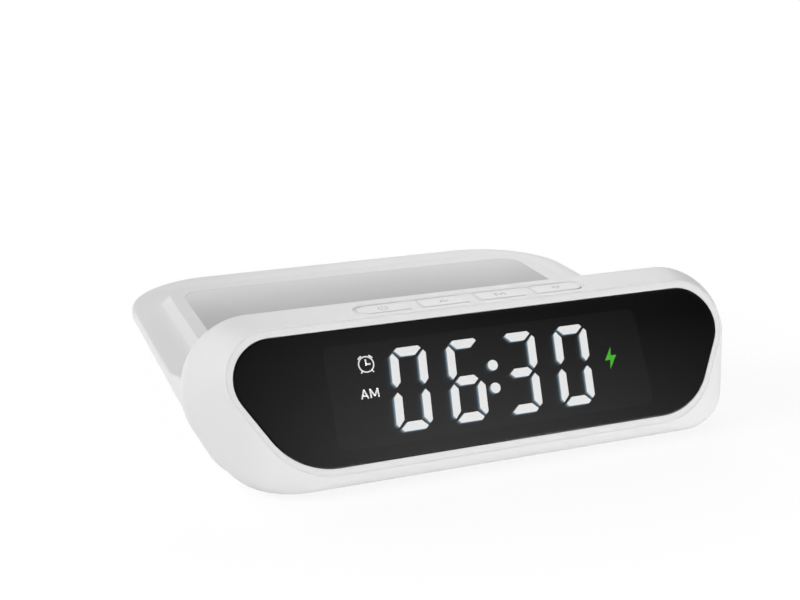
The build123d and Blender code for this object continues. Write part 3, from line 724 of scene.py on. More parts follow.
@dataclass
class Palette:
    """All the finishes of the clock, built once."""

    made: Dict[str, bpy.types.Material] = field(default_factory=dict)

    FINISHES = (
        Plastic("white_shell_satin", grey(0.80), grey(0.86)),
        Plastic("white_base_satin", grey(0.80), grey(0.84)),
        Plastic("white_ring_grain", grey(0.77), grey(0.88), grain=2600.0, bump=0.3),
        Plastic("key_cap_satin", grey(0.80), grey(0.84), rough=(0.38, 0.48)),
        Plastic("key_mark_grey", (0.42, 0.42, 0.43), (0.50, 0.50, 0.51)),
        # Pad: a light grey painted darker (0.54 to 0.57) at the front as a painted shadow of the housing and
        # of a phone above it, lighter (0.82) towards the rear.
        Plastic(
            "soft_pad_grey_painted_shadow",
            grey(0.54),
            grey(0.57),
            rough=(0.55, 0.7),
            grain=5200.0,
            bump=0.2,
            shadow_span=(0.014, 0.05),
            unshadowed_colour=grey(0.82),
        ),
        Plastic("pane_print_black", grey(0.004), grey(0.008), rough=(0.5, 0.6)),
        # Painted glow: the black light box and the unlit bars glow at 0.06, for the display's backlight
        # leaking onto them.
        Plastic("light_box_black_painted_glow", grey(0.018), grey(0.026), glow=0.06),
        Plastic("unlit_bar_smoke_painted_glow", grey(0.018), grey(0.026), glow=0.06),
        Plastic(
            "board_green", (0.02, 0.12, 0.05), (0.05, 0.24, 0.1), rough=(0.3, 0.45), grain=900.0, patch=300.0
        ),
        Plastic("chip_black", grey(0.018), grey(0.035), rough=(0.4, 0.6)),
        Plastic("ferrite_grey", (0.05, 0.05, 0.055), (0.09, 0.09, 0.095), rough=(0.6, 0.8)),
        Plastic("ribbon_cream", (0.66, 0.62, 0.5), (0.78, 0.75, 0.65), rough=(0.3, 0.4)),
        Plastic("foot_rubber_grey", grey(0.40), grey(0.50), rough=(0.7, 0.85), grain=4000.0),
        Metal("coil_copper_wire", (0.60, 0.27, 0.12), (0.80, 0.42, 0.22)),
        Metal("socket_plating", (0.55, 0.55, 0.56), (0.68, 0.68, 0.69)),
        Metal("screw_zinc", (0.42, 0.42, 0.44), (0.58, 0.58, 0.6)),
        SmokedPane("smoked_pane", grey(0.062)),
        Lamp("lit_bar_white", grey(0.97), grey(1.0), 13.0),
        Lamp("lit_sign_green", (0.13, 0.92, 0.055), (0.15, 1.0, 0.07), 7.4),
        # Bar walls: emission set by the mesh's wall attribute; next to the bars it lights the diffusers' side
        # walls, further out it is a painted glow around the bars.
        Lamp("bar_wall_painted_glow_blue", grey(0.0095), (0.54, 0.81, 1.0), 6.3, attribute="wall"),
    )

    def build(self) -> "Palette":
        """Build every finish once."""
        self.made = {finish.name: finish.material() for finish in self.FINISHES}
        return self

    def __getitem__(self, name: str) -> bpy.types.Material:
        """Finish of a name."""
        return self.made[name]


@dataclass
class Cheek:
    """Cheek of the housing: for each column a curve from the ring over the swell to the widest outline.

    With A, M and B the three outlines and m the swell's share of the way, it is
    P(t) = A (t-m)(t-1)/m - M t(t-1)/(m(1-m)) + B t(t-m)/(1-m), plus F max(0, t-m)(1-t)/(1-m) with
    the fill F of its lower corners.
    """

    ring: Grid
    swell: Grid
    wide: Grid
    fill: Grid
    share: float

    def at(self, t: Grid) -> Grid:
        """Points of the cheek, by the formula of the class.

        Args:
            t: Share of the way for each column.

        Returns:
            One point for each column.
        """
        m = self.share
        curve = self.ring * (t - m) * (t - 1) / m
        curve = curve - self.swell * t * (t - 1) / (m * (1 - m))
        curve = curve + self.wide * t * (t - m) / (1 - m)
        return curve + self.fill * np.maximum(t - m, 0) * (1 - t) / (1 - m)

    def leaving(self) -> Grid:
        """Direction P'(0) in which the cheek leaves the ring."""
        m = self.share
        return self.swell / (m * (1 - m)) - self.ring * (1 + m) / m - self.wide * m / (1 - m)

    def arriving(self) -> Grid:
        """Direction P'(1) in which the cheek comes to the widest outline.

        Returns:
            One direction for each column.
        """
        m = self.share
        bare = self.ring * (1 - m) / m - self.swell / (m * (1 - m)) + self.wide * (2 - m) / (1 - m)
        return bare - self.fill


@dataclass
class UpperShell:
    """Front housing, tray rim, ledge and platform, which are one moulding."""

    lip_soft: float = 0.03
    back_t: float = 4.4
    crease_r: float = 6.0
    crease_depth: float = 0.2
    crease_spare: float = 0.05
    corner_fill: float = 0.45
    fill_aim: Pair = (0.8, 0.6)
    fill_span: Pair = (0.82, 0.18)
    swell_share: float = 0.348
    back_r: float = 1.4
    back_inset: float = 0.4
    sole_z: float = 1.0
    sole_soft: float = 0.25
    edge_r: float = 0.2
    recess_half: float = 27.8
    recess_r: float = 3.25
    recess_h: float = 0.45
    recess_edge: float = 0.3
    recess_root: float = 0.1
    hole_edge: float = 0.08
    hole_h: float = 1.5
    tray_half: float = 63.54
    tray_rear: float = 61.6
    tray_r: float = 25.0
    tray_front: float = -42.0
    front_r: float = 0.5
    deck_inset: float = 2.4
    deck_edge: float = 0.1
    rim_z: float = 12.57
    rim_band: float = 2.2
    rim_r: float = 0.7
    plat_half: float = 53.2
    plat_rear: float = 45.97
    plat_r: float = 8.0
    plat_h: float = 2.0
    plat_foot: float = 2.2
    plat_edge: float = 0.15
    foot_power: float = 1.6
    rear_foot: float = 8.0
    ledge_slopes: Pair = (0.15, 0.2)
    sweep: float = 4.6
    sweep_y: float = -8.0
    sweep_run: float = 22.0
    pad_half: float = 49.56
    pad_front: float = -33.627
    pad_rear: float = 42.23
    pad_r: float = 5.56
    pad_floor: float = 12.97
    pad_lip: float = 0.04
    pad_inset: float = 1.0

    CHEEK_SHARES = (0.0, 0.05, 0.12, 0.2, 0.28, 0.36, 0.44, 0.52, 0.6, 0.68, 0.76, 0.84, 0.92, 1.0)
    TOP_SHARES = (0.0, 0.4, 0.8)
    FLAT_SHARES = (0.0, 0.08, 0.5, 0.92)
    EDGE_N, CREASE_N, LEDGE_N, FOOT_N = 6, 9, 15, 13
    LIP_N, BACK_N, RECESS_N, RIM_N, PLAT_N, PAD_N = 4, 9, 5, 8, 6, 5

    def lip_rows(self) -> List[Grid]:
        """Rows from the pane's seat to the front edge of the lip, which is a quarter circle.

        Returns:
            The rows.
        """
        place = FACE.face.place
        lip, seat = FACE.ring.grown(-FACE.lip), FACE.window.grown(-FACE.seat_w)
        rows = [place(seat.points(), FACE.pane + FACE.seat), place(seat.points(), FACE.pane)]
        rows += [place(lip.points(), FACE.pane), place(lip.points(), self.lip_soft * 2)]
        drops = arc_drops(self.LIP_N, self.lip_soft)
        return rows + [place(lip.grown(opening).points(), closing) for closing, opening in drops]

    def cheek(self) -> Cheek:
        """Cheek with its lower corners filled.

        The fill is w' 4 f / (1 - m) outward, which gives the cheek w' f more at most. The weight
        w = (|d_x| aim_x - d_s aim_s - start) / width, cut to 0..1, is greatest where the outline's
        outside d points along the aim, and w' = 3 w^2 - 2 w^3 smooths it.

        Returns:
            The cheek.
        """
        flat, outward = FACE.cheek.trace()
        aim_x, aim_s = self.fill_aim
        start, width = self.fill_span
        low = np.clip((np.abs(outward[:, :1]) * aim_x - outward[:, 1:2] * aim_s - start) / width, 0, 1)
        inward = -FACE.cheek_plane.along(outward)
        m = self.swell_share
        return Cheek(
            FACE.face.place(FACE.ring.points()),
            FACE.face.place(FACE.swell.points(), FACE.swell_depth),
            FACE.cheek_plane.place(flat),
            -4 * self.corner_fill / (1 - m) * low * low * (3 - 2 * low) * inward,
            m,
        )

    def housing_rows(self) -> Tuple[List[Grid], int]:
        """Rows of the front housing from the pane's seat over the lip and cheek to the back.

        The cheek's front edge and its crease with the back are rounded by quadratic arcs, and the
        back's edge is a quarter circle. The sole is z = z0 + k ln(1 + exp((z - z0) / k)).

        Returns:
            The rows and the number of the first row of the cheek.
        """
        rows = self.lip_rows()
        cheek = self.cheek()
        back = FACE.cheek_plane.back
        inward = -FACE.cheek_plane.along(FACE.cheek.trace()[1])
        arrive = cheek.arriving()
        speed = np.linalg.norm(arrive, axis=1, keepdims=True)
        turn = np.arccos(np.clip(arrive / speed @ back, -1, 1))[:, None]
        cut = np.minimum(self.crease_r * np.tan(turn / 2), 2 * self.crease_depth / np.sin(turn / 2))
        cut = np.minimum(cut, self.back_t - self.back_r - self.crease_spare)
        t_first = self.edge_r / np.linalg.norm(cheek.leaving(), axis=1, keepdims=True)
        t_last = 1 - cut / speed
        start = FACE.face.place(FACE.ring.grown(-self.edge_r / 2).points())
        rows += rounded_corner(start, cheek.ring, cheek.at(t_first), np.linspace(0, 1, self.EDGE_N)[:-1])
        cheek_row = len(rows)
        rows += [cheek.at(t_first + share * (t_last - t_first)) for share in self.CHEEK_SHARES]
        beyond = cheek.wide + back * cut
        rows += rounded_corner(cheek.at(t_last), cheek.wide, beyond, np.linspace(0, 1, self.CREASE_N)[1:])
        centre = cheek.wide + back * (self.back_t - self.back_r) + inward * self.back_r
        sin, cos = arc_steps(self.BACK_N)
        rows += [centre - inward * self.back_r * c + back * self.back_r * s for s, c in zip(sin, cos)]
        rows.append(rows[-1] + inward * self.back_inset)
        for row in rows:
            lift = (row[:, 2] - self.sole_z) / self.sole_soft
            row[:, 2] = self.sole_z + self.sole_soft * np.logaddexp(0, lift)
        return rows, cheek_row

    def pill(self, near: Grid, spare: float, height: float) -> Grid:
        """Nearest points on the round-ended key recess, grown by a spare, at one height.

        The recess is every point within r of the line y = key_y, |x| <= half - r.

        Args:
            near: Points to start from.
            spare: Distance by which the recess is grown.
            height: Height of the new points.

        Returns:
            The points on the recess.
        """
        end = self.recess_half - self.recess_r
        axis = np.column_stack([np.clip(near[:, 0], -end, end), np.full(len(near), FACE.key_y)])
        away = near[:, :2] - axis
        away = away / np.linalg.norm(away, axis=1, keepdims=True)
        return level(axis + away * (self.recess_r + spare), height)

    def housing(self) -> List[Patch]:
        """Front housing: the surface through its rows, with the key recess let into its flat top.

        Returns:
            Patches of the housing and of the recess.
        """
        rows, cheek = self.housing_rows()
        skin = np.stack(rows)
        width = skin.shape[1]
        low, high = cheek + 1, cheek + len(self.CHEEK_SHARES) - 2
        left, right = Outline.WINDOW_COLUMNS
        body = Patch.from_stations(rows, True, last_cap=True)
        row_of = np.repeat(np.arange(len(rows) - 1), width)
        column_of = np.tile(np.arange(width), len(rows) - 1)
        cut = (row_of >= low) & (row_of < high) & (column_of >= left) & (column_of < right)
        body.faces = [face for face, gone in zip(body.faces, cut.tolist() + [False]) if not gone]
        loop = np.concatenate(
            [skin[low, left:right], skin[low:high, right], skin[high, right:left:-1], skin[high:low:-1, left]]
        )
        return [body] + self.recess(loop)

    def recess(self, loop: Grid) -> List[Patch]:
        """Key recess: rounded rim, wall and floor, with a hole for each key.

        Rim and root are quarter circles around the recess, and the floor is a straight blend
        between the edge of each key's cell and its hole.

        Args:
            loop: Edge of the opening in the housing's top.

        Returns:
            Patches of the recess.
        """
        top = FACE.top_z
        floor = top - self.recess_h
        rim = self.pill(loop, self.recess_edge, top)
        edge = arc_drops(self.RECESS_N, self.recess_edge)
        root = arc_drops(self.RECESS_N, self.recess_root)
        rows = [loop + share * (rim - loop) for share in self.TOP_SHARES]
        rows += [self.pill(loop, closing, top - opening) for closing, opening in edge]
        rows += [self.pill(loop, -opening, floor + closing) for closing, opening in root]
        patches = [Patch.from_stations(rows, True)]
        for key in KEYS:
            hole = key.plan(key.gap)
            lip = key.plan(key.gap + self.hole_edge)
            rows = [level(self.cell(hole, key), floor), level(lip, floor)]
            rows += [level(hole, floor - self.hole_edge), level(hole, floor - self.hole_h)]
            patches.append(Patch.from_stations(rows, True))
        return patches

    def cell(self, hole: Grid, key: "KeyCap") -> Grid:
        """Edge of the recess floor around one key: where rays from the key's own line leave its cell.

        A ray ends at the recess's straight side, at the wall to the next key's cell, or on the round
        end, at t = -g d_x + sqrt((g d_x)^2 - g^2 + r^2) with g from the end's centre to its start.

        Args:
            hole: Points of the key's hole.
            key: The key.

        Returns:
            One point of the edge for each point of the hole.
        """
        end, reach = self.recess_half - self.recess_r, self.recess_r - self.recess_root
        low, high = key.cell
        start = key.width / 2 - key.depth / 2
        axis = np.clip(hole[:, 0], key.x - start, key.x + start)
        line = np.column_stack([axis, np.full(len(hole), FACE.key_y)])
        ray = hole - line
        ray = ray / np.linalg.norm(ray, axis=1, keepdims=True)
        to_side = reach / np.maximum(np.abs(ray[:, 1]), TINY)
        wall = np.where(ray[:, 0] > 0, high, low)
        upright = np.abs(ray[:, 0]) < TINY
        to_wall = (wall - axis) / np.where(upright, TINY, ray[:, 0])
        to_wall = np.where(upright, np.inf, to_wall)
        gap = axis - np.where(wall > 0, end, -end)
        mid = gap * ray[:, 0]
        to_round = -mid + np.sqrt(np.maximum(mid**2 - gap**2 + reach**2, 0))
        rounded = np.abs(axis + to_side * ray[:, 0]) > end
        to_end = np.where(rounded, to_round, to_side)
        distance = np.where(np.abs(wall) > self.recess_half, to_end, np.minimum(to_side, to_wall))
        return line + ray * distance[:, None]

    def tray_row(self, inset: float, height: float) -> Grid:
        """Row of the tray's outside: its plan drawn in by an inset."""
        half, rear, radius = self.tray_half - inset, self.tray_rear - inset, self.tray_r - inset
        return level(plan_loop(half, self.tray_front, rear, radius, self.front_r)[:RUN_U], height)

    def plat_row(self, spare: float, height: float) -> Grid:
        """Row around the platform: its plan grown by a spare."""
        half, rear, radius = self.plat_half + spare, self.plat_rear + spare, self.plat_r + spare
        return level(plan_loop(half, self.tray_front, rear, radius, self.front_r), height)

    def foot_row(self) -> Grid:
        """Row along the platform's foot, which reaches further at the rear than at the sides.

        Returns:
            Points at the rim's height.
        """
        half, rear = self.plat_half + self.plat_foot, self.plat_rear + self.rear_foot
        loop = plan_loop(half, self.tray_front, rear, self.plat_r + self.rear_foot, self.front_r)
        return level(loop[:RUN_U], self.rim_z)

    def pad_row(self, spare: float, height: float) -> Grid:
        """Row around the pad's recess: its plan grown by a spare."""
        half, rear, radius = self.pad_half + spare, self.pad_rear + spare, self.pad_r + spare
        return level(plan_loop(half, self.pad_front - spare, rear, radius, radius), height)

    def crown(self, share: float) -> float:
        """Height of the ledge's crown, w (a s - (a + b) s^2 / 2), with w its width and a, b its slopes.

        Args:
            share: Share s of the way from the rim to the platform's foot.

        Returns:
            Height over the rim.
        """
        width = self.tray_half - self.plat_half - self.plat_foot - self.rim_r
        rise, fall = self.ledge_slopes
        return width * (rise * share - (rise + fall) / 2 * share**2)

    def ledge_rise(self, row: Grid, share: float) -> Grid:
        """Ledge row at a share of its way from the rim to the platform's foot.

        It is lifted by the crown. Near the housing the rim also sweeps up by
        h (3 q^2 - 2 q^3) (1 - share)^3, with q the share of the sweep's run.

        Args:
            row: Points of the row at the rim's height.
            share: Share of the way, 0 at the rim.

        Returns:
            The row with its heights.
        """
        past = np.clip((self.sweep_y - row[:, 1]) / self.sweep_run, 0.0, 1.0)
        lift = self.crown(share) + self.sweep * (3 * past**2 - 2 * past**3) * (1 - share) ** 3
        return row + np.column_stack([np.zeros((len(row), 2)), lift])

    def tray(self) -> List[Patch]:
        """Tray: rim band, rounded rim, crowned ledge, platform and pad recess.

        The platform's foot rises by h t^p over its way t, and the edges are quarter circles.

        Returns:
            Patches of the tray's sides and of the platform's top.
        """
        deck, top = self.rim_z - self.rim_band, self.rim_z + self.plat_h
        rows = [self.tray_row(self.deck_inset, deck), self.tray_row(self.deck_edge, deck)]
        rows.append(self.tray_row(0.0, deck + self.deck_edge))
        drops = arc_drops(self.RIM_N, self.rim_r)
        rim = [self.tray_row(opening, self.rim_z - closing) for closing, opening in drops]
        rows += [self.ledge_rise(row, 0.0) for row in rim]
        brow, foot = rim[-1], self.foot_row()
        shares = np.linspace(0, 1, self.LEDGE_N)[1:]
        rows += [self.ledge_rise(brow + share * (foot - brow), share) for share in shares]
        base = foot + (0.0, 0.0, self.crown(1.0))
        climb = self.plat_row(0.0, top - self.plat_edge)[:RUN_U] - base
        shares = np.linspace(0, 1, self.FOOT_N)[1:]
        rows += [base + climb * (t, t, t**self.foot_power) for t in shares]
        drops = arc_drops(self.PLAT_N, self.plat_edge)
        rows += [self.plat_row(-opening, top - closing)[:RUN_U] for closing, opening in drops]
        outer, inner = self.plat_row(-self.plat_edge, top), self.pad_row(self.pad_lip, top)
        flat = [outer + share * (inner - outer) for share in self.FLAT_SHARES]
        drops = arc_drops(self.PAD_N, self.pad_lip)
        flat += [self.pad_row(closing, top - opening) for closing, opening in drops]
        flat += [self.pad_row(0.0, self.pad_floor), self.pad_row(-self.pad_inset, self.pad_floor)]
        return [Patch.from_stations(rows, False), Patch.from_stations(flat, True, last_cap=True)]

    def build(self, palette: Palette) -> None:
        """Build the moulding as one piece."""
        patch, finish = Patch.joined(self.housing() + self.tray()), palette["white_shell_satin"]
        make_piece("upper_shell_skin", patch, finish, Body.HOUSING, ["upper_shell"])


class Stroke:
    """Drawn lines of signs, as ribbons of even width."""

    LINE_N, ARC_N = 3, 41

    @staticmethod
    def ribbon(path: Grid, width: float) -> Grid:
        """Two edges of a line: path - n w/2 and path + n w/2, with n its sideways direction.

        Args:
            path: Points of the line.
            width: Width of the ribbon.

        Returns:
            The right and the left edge, so that the ribbon faces up.
        """
        step = np.gradient(path, axis=0)
        step = step / np.linalg.norm(step, axis=1, keepdims=True)
        side = np.column_stack([-step[:, 1], step[:, 0]]) * width / 2
        return np.stack([path - side, path + side])

    @classmethod
    def line(cls, *corners: Pair) -> List[Grid]:
        """Straight strokes through corners, one ribbon for each run."""
        points = np.array(corners, dtype=float)
        return [np.linspace(p, q, cls.LINE_N) for p, q in zip(points[:-1], points[1:])]

    @classmethod
    def arc(cls, radius: float, start: float, stop: float) -> List[Grid]:
        """Arc r (cos t, sin t) around the sign's middle between two angles in degrees."""
        turn = np.radians(np.linspace(start, stop, cls.ARC_N))
        return [np.column_stack([radius * np.cos(turn), radius * np.sin(turn)])]


SIGNS: Dict[str, List[Grid]] = {
    "key_power": Stroke.arc(1.0, 125, 415) + Stroke.line((0.0, 0.1), (0.0, 1.25)),
    "key_up": Stroke.line((-1.0, -0.55), (0.0, 0.75), (1.0, -0.55), (-1.0, -0.55)),
    "key_mode": Stroke.line((-1.1, -0.85), (-1.1, 0.85), (0.0, -0.4), (1.1, 0.85), (1.1, -0.85)),
    "key_down": Stroke.line((-1.0, 0.55), (0.0, -0.75), (1.0, 0.55), (-1.0, 0.55)),
}


@dataclass
class KeyCap:
    """One key cap with its printed sign."""

    node: str
    body: Body
    x: float
    width: float
    end: int
    cell: Pair
    depth: float = 5.0
    corner: float = 0.5
    least_r: float = 0.05
    end_share: float = 0.48
    gap: float = 0.1
    proud: float = -0.17
    edge: float = 0.25
    crown_inset: float = 0.15
    stem: float = 2.3
    sole_inset: float = 0.3
    sole_drop: float = 0.7
    sign_w: float = 0.2
    sign_lift: float = 0.015
    sign_t: float = 0.04

    CORNER_N, EDGE_N = 11, 7

    def plan(self, spare: float) -> Grid:
        """Plan of the key grown by a spare; an end key has one round end.

        Corners are centre + r (cos t, sin t), counterclockwise from above.

        Args:
            spare: Distance by which the plan is grown.

        Returns:
            Points of the plan.
        """
        half_w, half_d = self.width / 2 + spare, self.depth / 2 + spare
        radius = max(self.corner + spare, self.least_r)
        round_r = max((self.depth + 2 * spare) * self.end_share, self.least_r)
        r_right = round_r if self.end > 0 else radius
        r_left = round_r if self.end < 0 else radius
        turn = np.linspace(0, math.pi / 2, self.CORNER_N)
        corners = ((1, -1, r_right, -1), (1, 1, r_right, 0), (-1, 1, r_left, 1), (-1, -1, r_left, 2))
        arcs = []
        for side_x, side_y, r, quarter in corners:
            angle = turn + quarter * math.pi / 2
            x = self.x + side_x * (half_w - r) + r * np.cos(angle)
            arcs.append(np.column_stack([x, FACE.key_y + side_y * (half_d - r) + r * np.sin(angle)]))
        return np.concatenate(arcs)

    def build(self, palette: Palette) -> None:
        """Build the cap as a stack of its plans with a quarter circle at the top edge, and its sign.

        Args:
            palette: Finishes of the clock.
        """
        top, low = FACE.top_z + self.proud, FACE.top_z - self.stem
        sole = low - self.sole_drop
        rows = [level(self.plan(-self.sole_inset), sole), level(self.plan(0.0), sole)]
        rows.append(level(self.plan(0.0), low))
        drops = arc_drops(self.EDGE_N, self.edge)
        rows += [level(self.plan(-opening), top - closing) for closing, opening in drops]
        rows.append(level(self.plan(-self.edge - self.crown_inset), top))
        finish = palette["key_cap_satin"]
        make_piece(f"{self.node}_cap", Patch.capped(rows), finish, self.body, [self.node])
        self.sign(palette, top + self.sign_lift)

    def sign(self, palette: Palette, height: float) -> None:
        """Lay the printed sign on the cap as thin ribbons.

        Args:
            palette: Finishes of the clock.
            height: Height of the print.
        """
        middle = np.array([self.x, FACE.key_y])
        ribbons = [Stroke.ribbon(path, self.sign_w) + middle for path in SIGNS[self.node]]
        patches = [Patch.from_stations([level(edge, height) for edge in pair], False) for pair in ribbons]
        mark, finish = Patch.joined(patches), palette["key_mark_grey"]
        make_piece(f"{self.node}_sign", mark, finish, self.body, solid=self.sign_t)


OPEN_END = 99.0
CELL_W = 13.8
KEYS = (
    KeyCap("key_power", Body.POWER, -21.1, 11.8, -1, (-OPEN_END, -CELL_W)),
    KeyCap("key_up", Body.UP, -6.9, 11.0, 0, (-CELL_W, 0.0)),
    KeyCap("key_mode", Body.MODE, 6.9, 11.0, 0, (0.0, CELL_W)),
    KeyCap("key_down", Body.DOWN, 21.1, 11.8, 1, (CELL_W, OPEN_END)),
)


@dataclass
class FrontRing:
    """Thin grained ring around the pane."""

    edge: float = 0.06

    EDGE_N = 5
    FLAT_SHARES = (0.15, 0.5, 0.85)

    def build(self, palette: Palette) -> None:
        """Build the ring: its section, with quarter circles as front edges, carried round both outlines.

        Args:
            palette: Finishes of the clock.
        """
        inner, outer = FACE.window, FACE.ring.grown(-FACE.lip - FACE.seam)
        place = FACE.face.place
        drops = arc_drops(self.EDGE_N, self.edge)
        rows = [place(inner.grown(opening).points(), closing) for closing, opening in drops]
        brow, rim = rows[-1], place(outer.grown(-self.edge).points())
        rows += [brow + share * (rim - brow) for share in self.FLAT_SHARES]
        rows += [place(outer.grown(-closing).points(), opening) for closing, opening in drops]
        rows += [place(outer.points(), FACE.pane), place(inner.points(), FACE.pane), rows[0].copy()]
        patch, finish = Patch.from_stations(rows, True), palette["white_ring_grain"]
        make_piece("front_ring", patch, finish, Body.HOUSING, ["front_bezel"])


@dataclass
class Pane:
    """Smoked pane with the black print behind its border."""

    gap: float = 0.08
    edge: float = 0.15
    inset: float = 0.3
    rear_gap: float = 0.1
    print_half: float = 37.3
    print_rise: float = 11.1
    print_r: float = 2.0
    print_inset: float = 0.2
    print_t: float = 0.02

    EDGE_N = 5

    def build(self, palette: Palette) -> None:
        """Build the pane as a closed slab whose front edge is a quarter circle, and its printed border.

        Args:
            palette: Finishes of the clock.
        """
        line = FACE.window.grown(-self.gap)
        place = FACE.face.place
        rear = FACE.pane - self.rear_gap
        drops = arc_drops(self.EDGE_N, self.edge)
        rows = [place(line.grown(-self.edge - self.inset).points())]
        rows += [place(line.grown(-closing).points(), opening) for closing, opening in drops]
        rows += [place(line.points(), rear), place(line.grown(-self.inset).points(), rear)]
        slab, finish = Patch.capped(rows), palette["smoked_pane"]
        make_piece("smoked_pane", slab, finish, Body.HOUSING, ["display_window"])
        high, low = self.print_rise - FACE.drop, -self.print_rise - FACE.drop
        clear = Outline(high, low, self.print_half, 0.0, self.print_r, self.print_r)
        depth = FACE.pane - self.rear_gap / 2
        rows = [place(clear.points(), depth), place(line.grown(-self.print_inset).points(), depth)]
        border, finish = Patch.from_stations(rows, True), palette["pane_print_black"]
        make_piece("pane_print", border, finish, Body.HOUSING, solid=self.print_t)


@dataclass(frozen=True)
class LitSign:
    """Small lit sign of the display: its place (x, s) on the face and its lines around that."""

    name: str
    place: Pair
    width: float
    lines: List[Grid]


ALARM_AT, MORNING_AT, BOLT_AT = (-28.27, 6.4), (-30.55, -0.85), (28.85, 0.4)
LIT_SIGNS = (
    LitSign(
        "alarm_ring_sign",
        ALARM_AT,
        0.27,
        Stroke.arc(1.66, 0, 360)
        + Stroke.line((-1.05, -1.35), (-1.4, -1.8))
        + Stroke.line((1.05, -1.35), (1.4, -1.8)),
    ),
    LitSign(
        "alarm_hands_sign",
        ALARM_AT,
        0.34,
        Stroke.line((0.0, 1.1), (0.0, -0.17)) + Stroke.line((-0.17, 0.0), (0.95, 0.0)),
    ),
    LitSign("alarm_bells_sign", ALARM_AT, 0.3, Stroke.arc(2.0, 114, 143) + Stroke.arc(2.0, 37, 66)),
    LitSign(
        "morning_sign",
        MORNING_AT,
        0.32,
        Stroke.line((0.0, 0.0), (0.74, 1.95), (1.48, 0.0))
        + Stroke.line((0.28, 0.62), (1.2, 0.62))
        + Stroke.line((2.1, 0.0), (2.1, 1.95), (2.95, 0.35), (3.8, 1.95), (3.8, 0.0)),
    ),
)


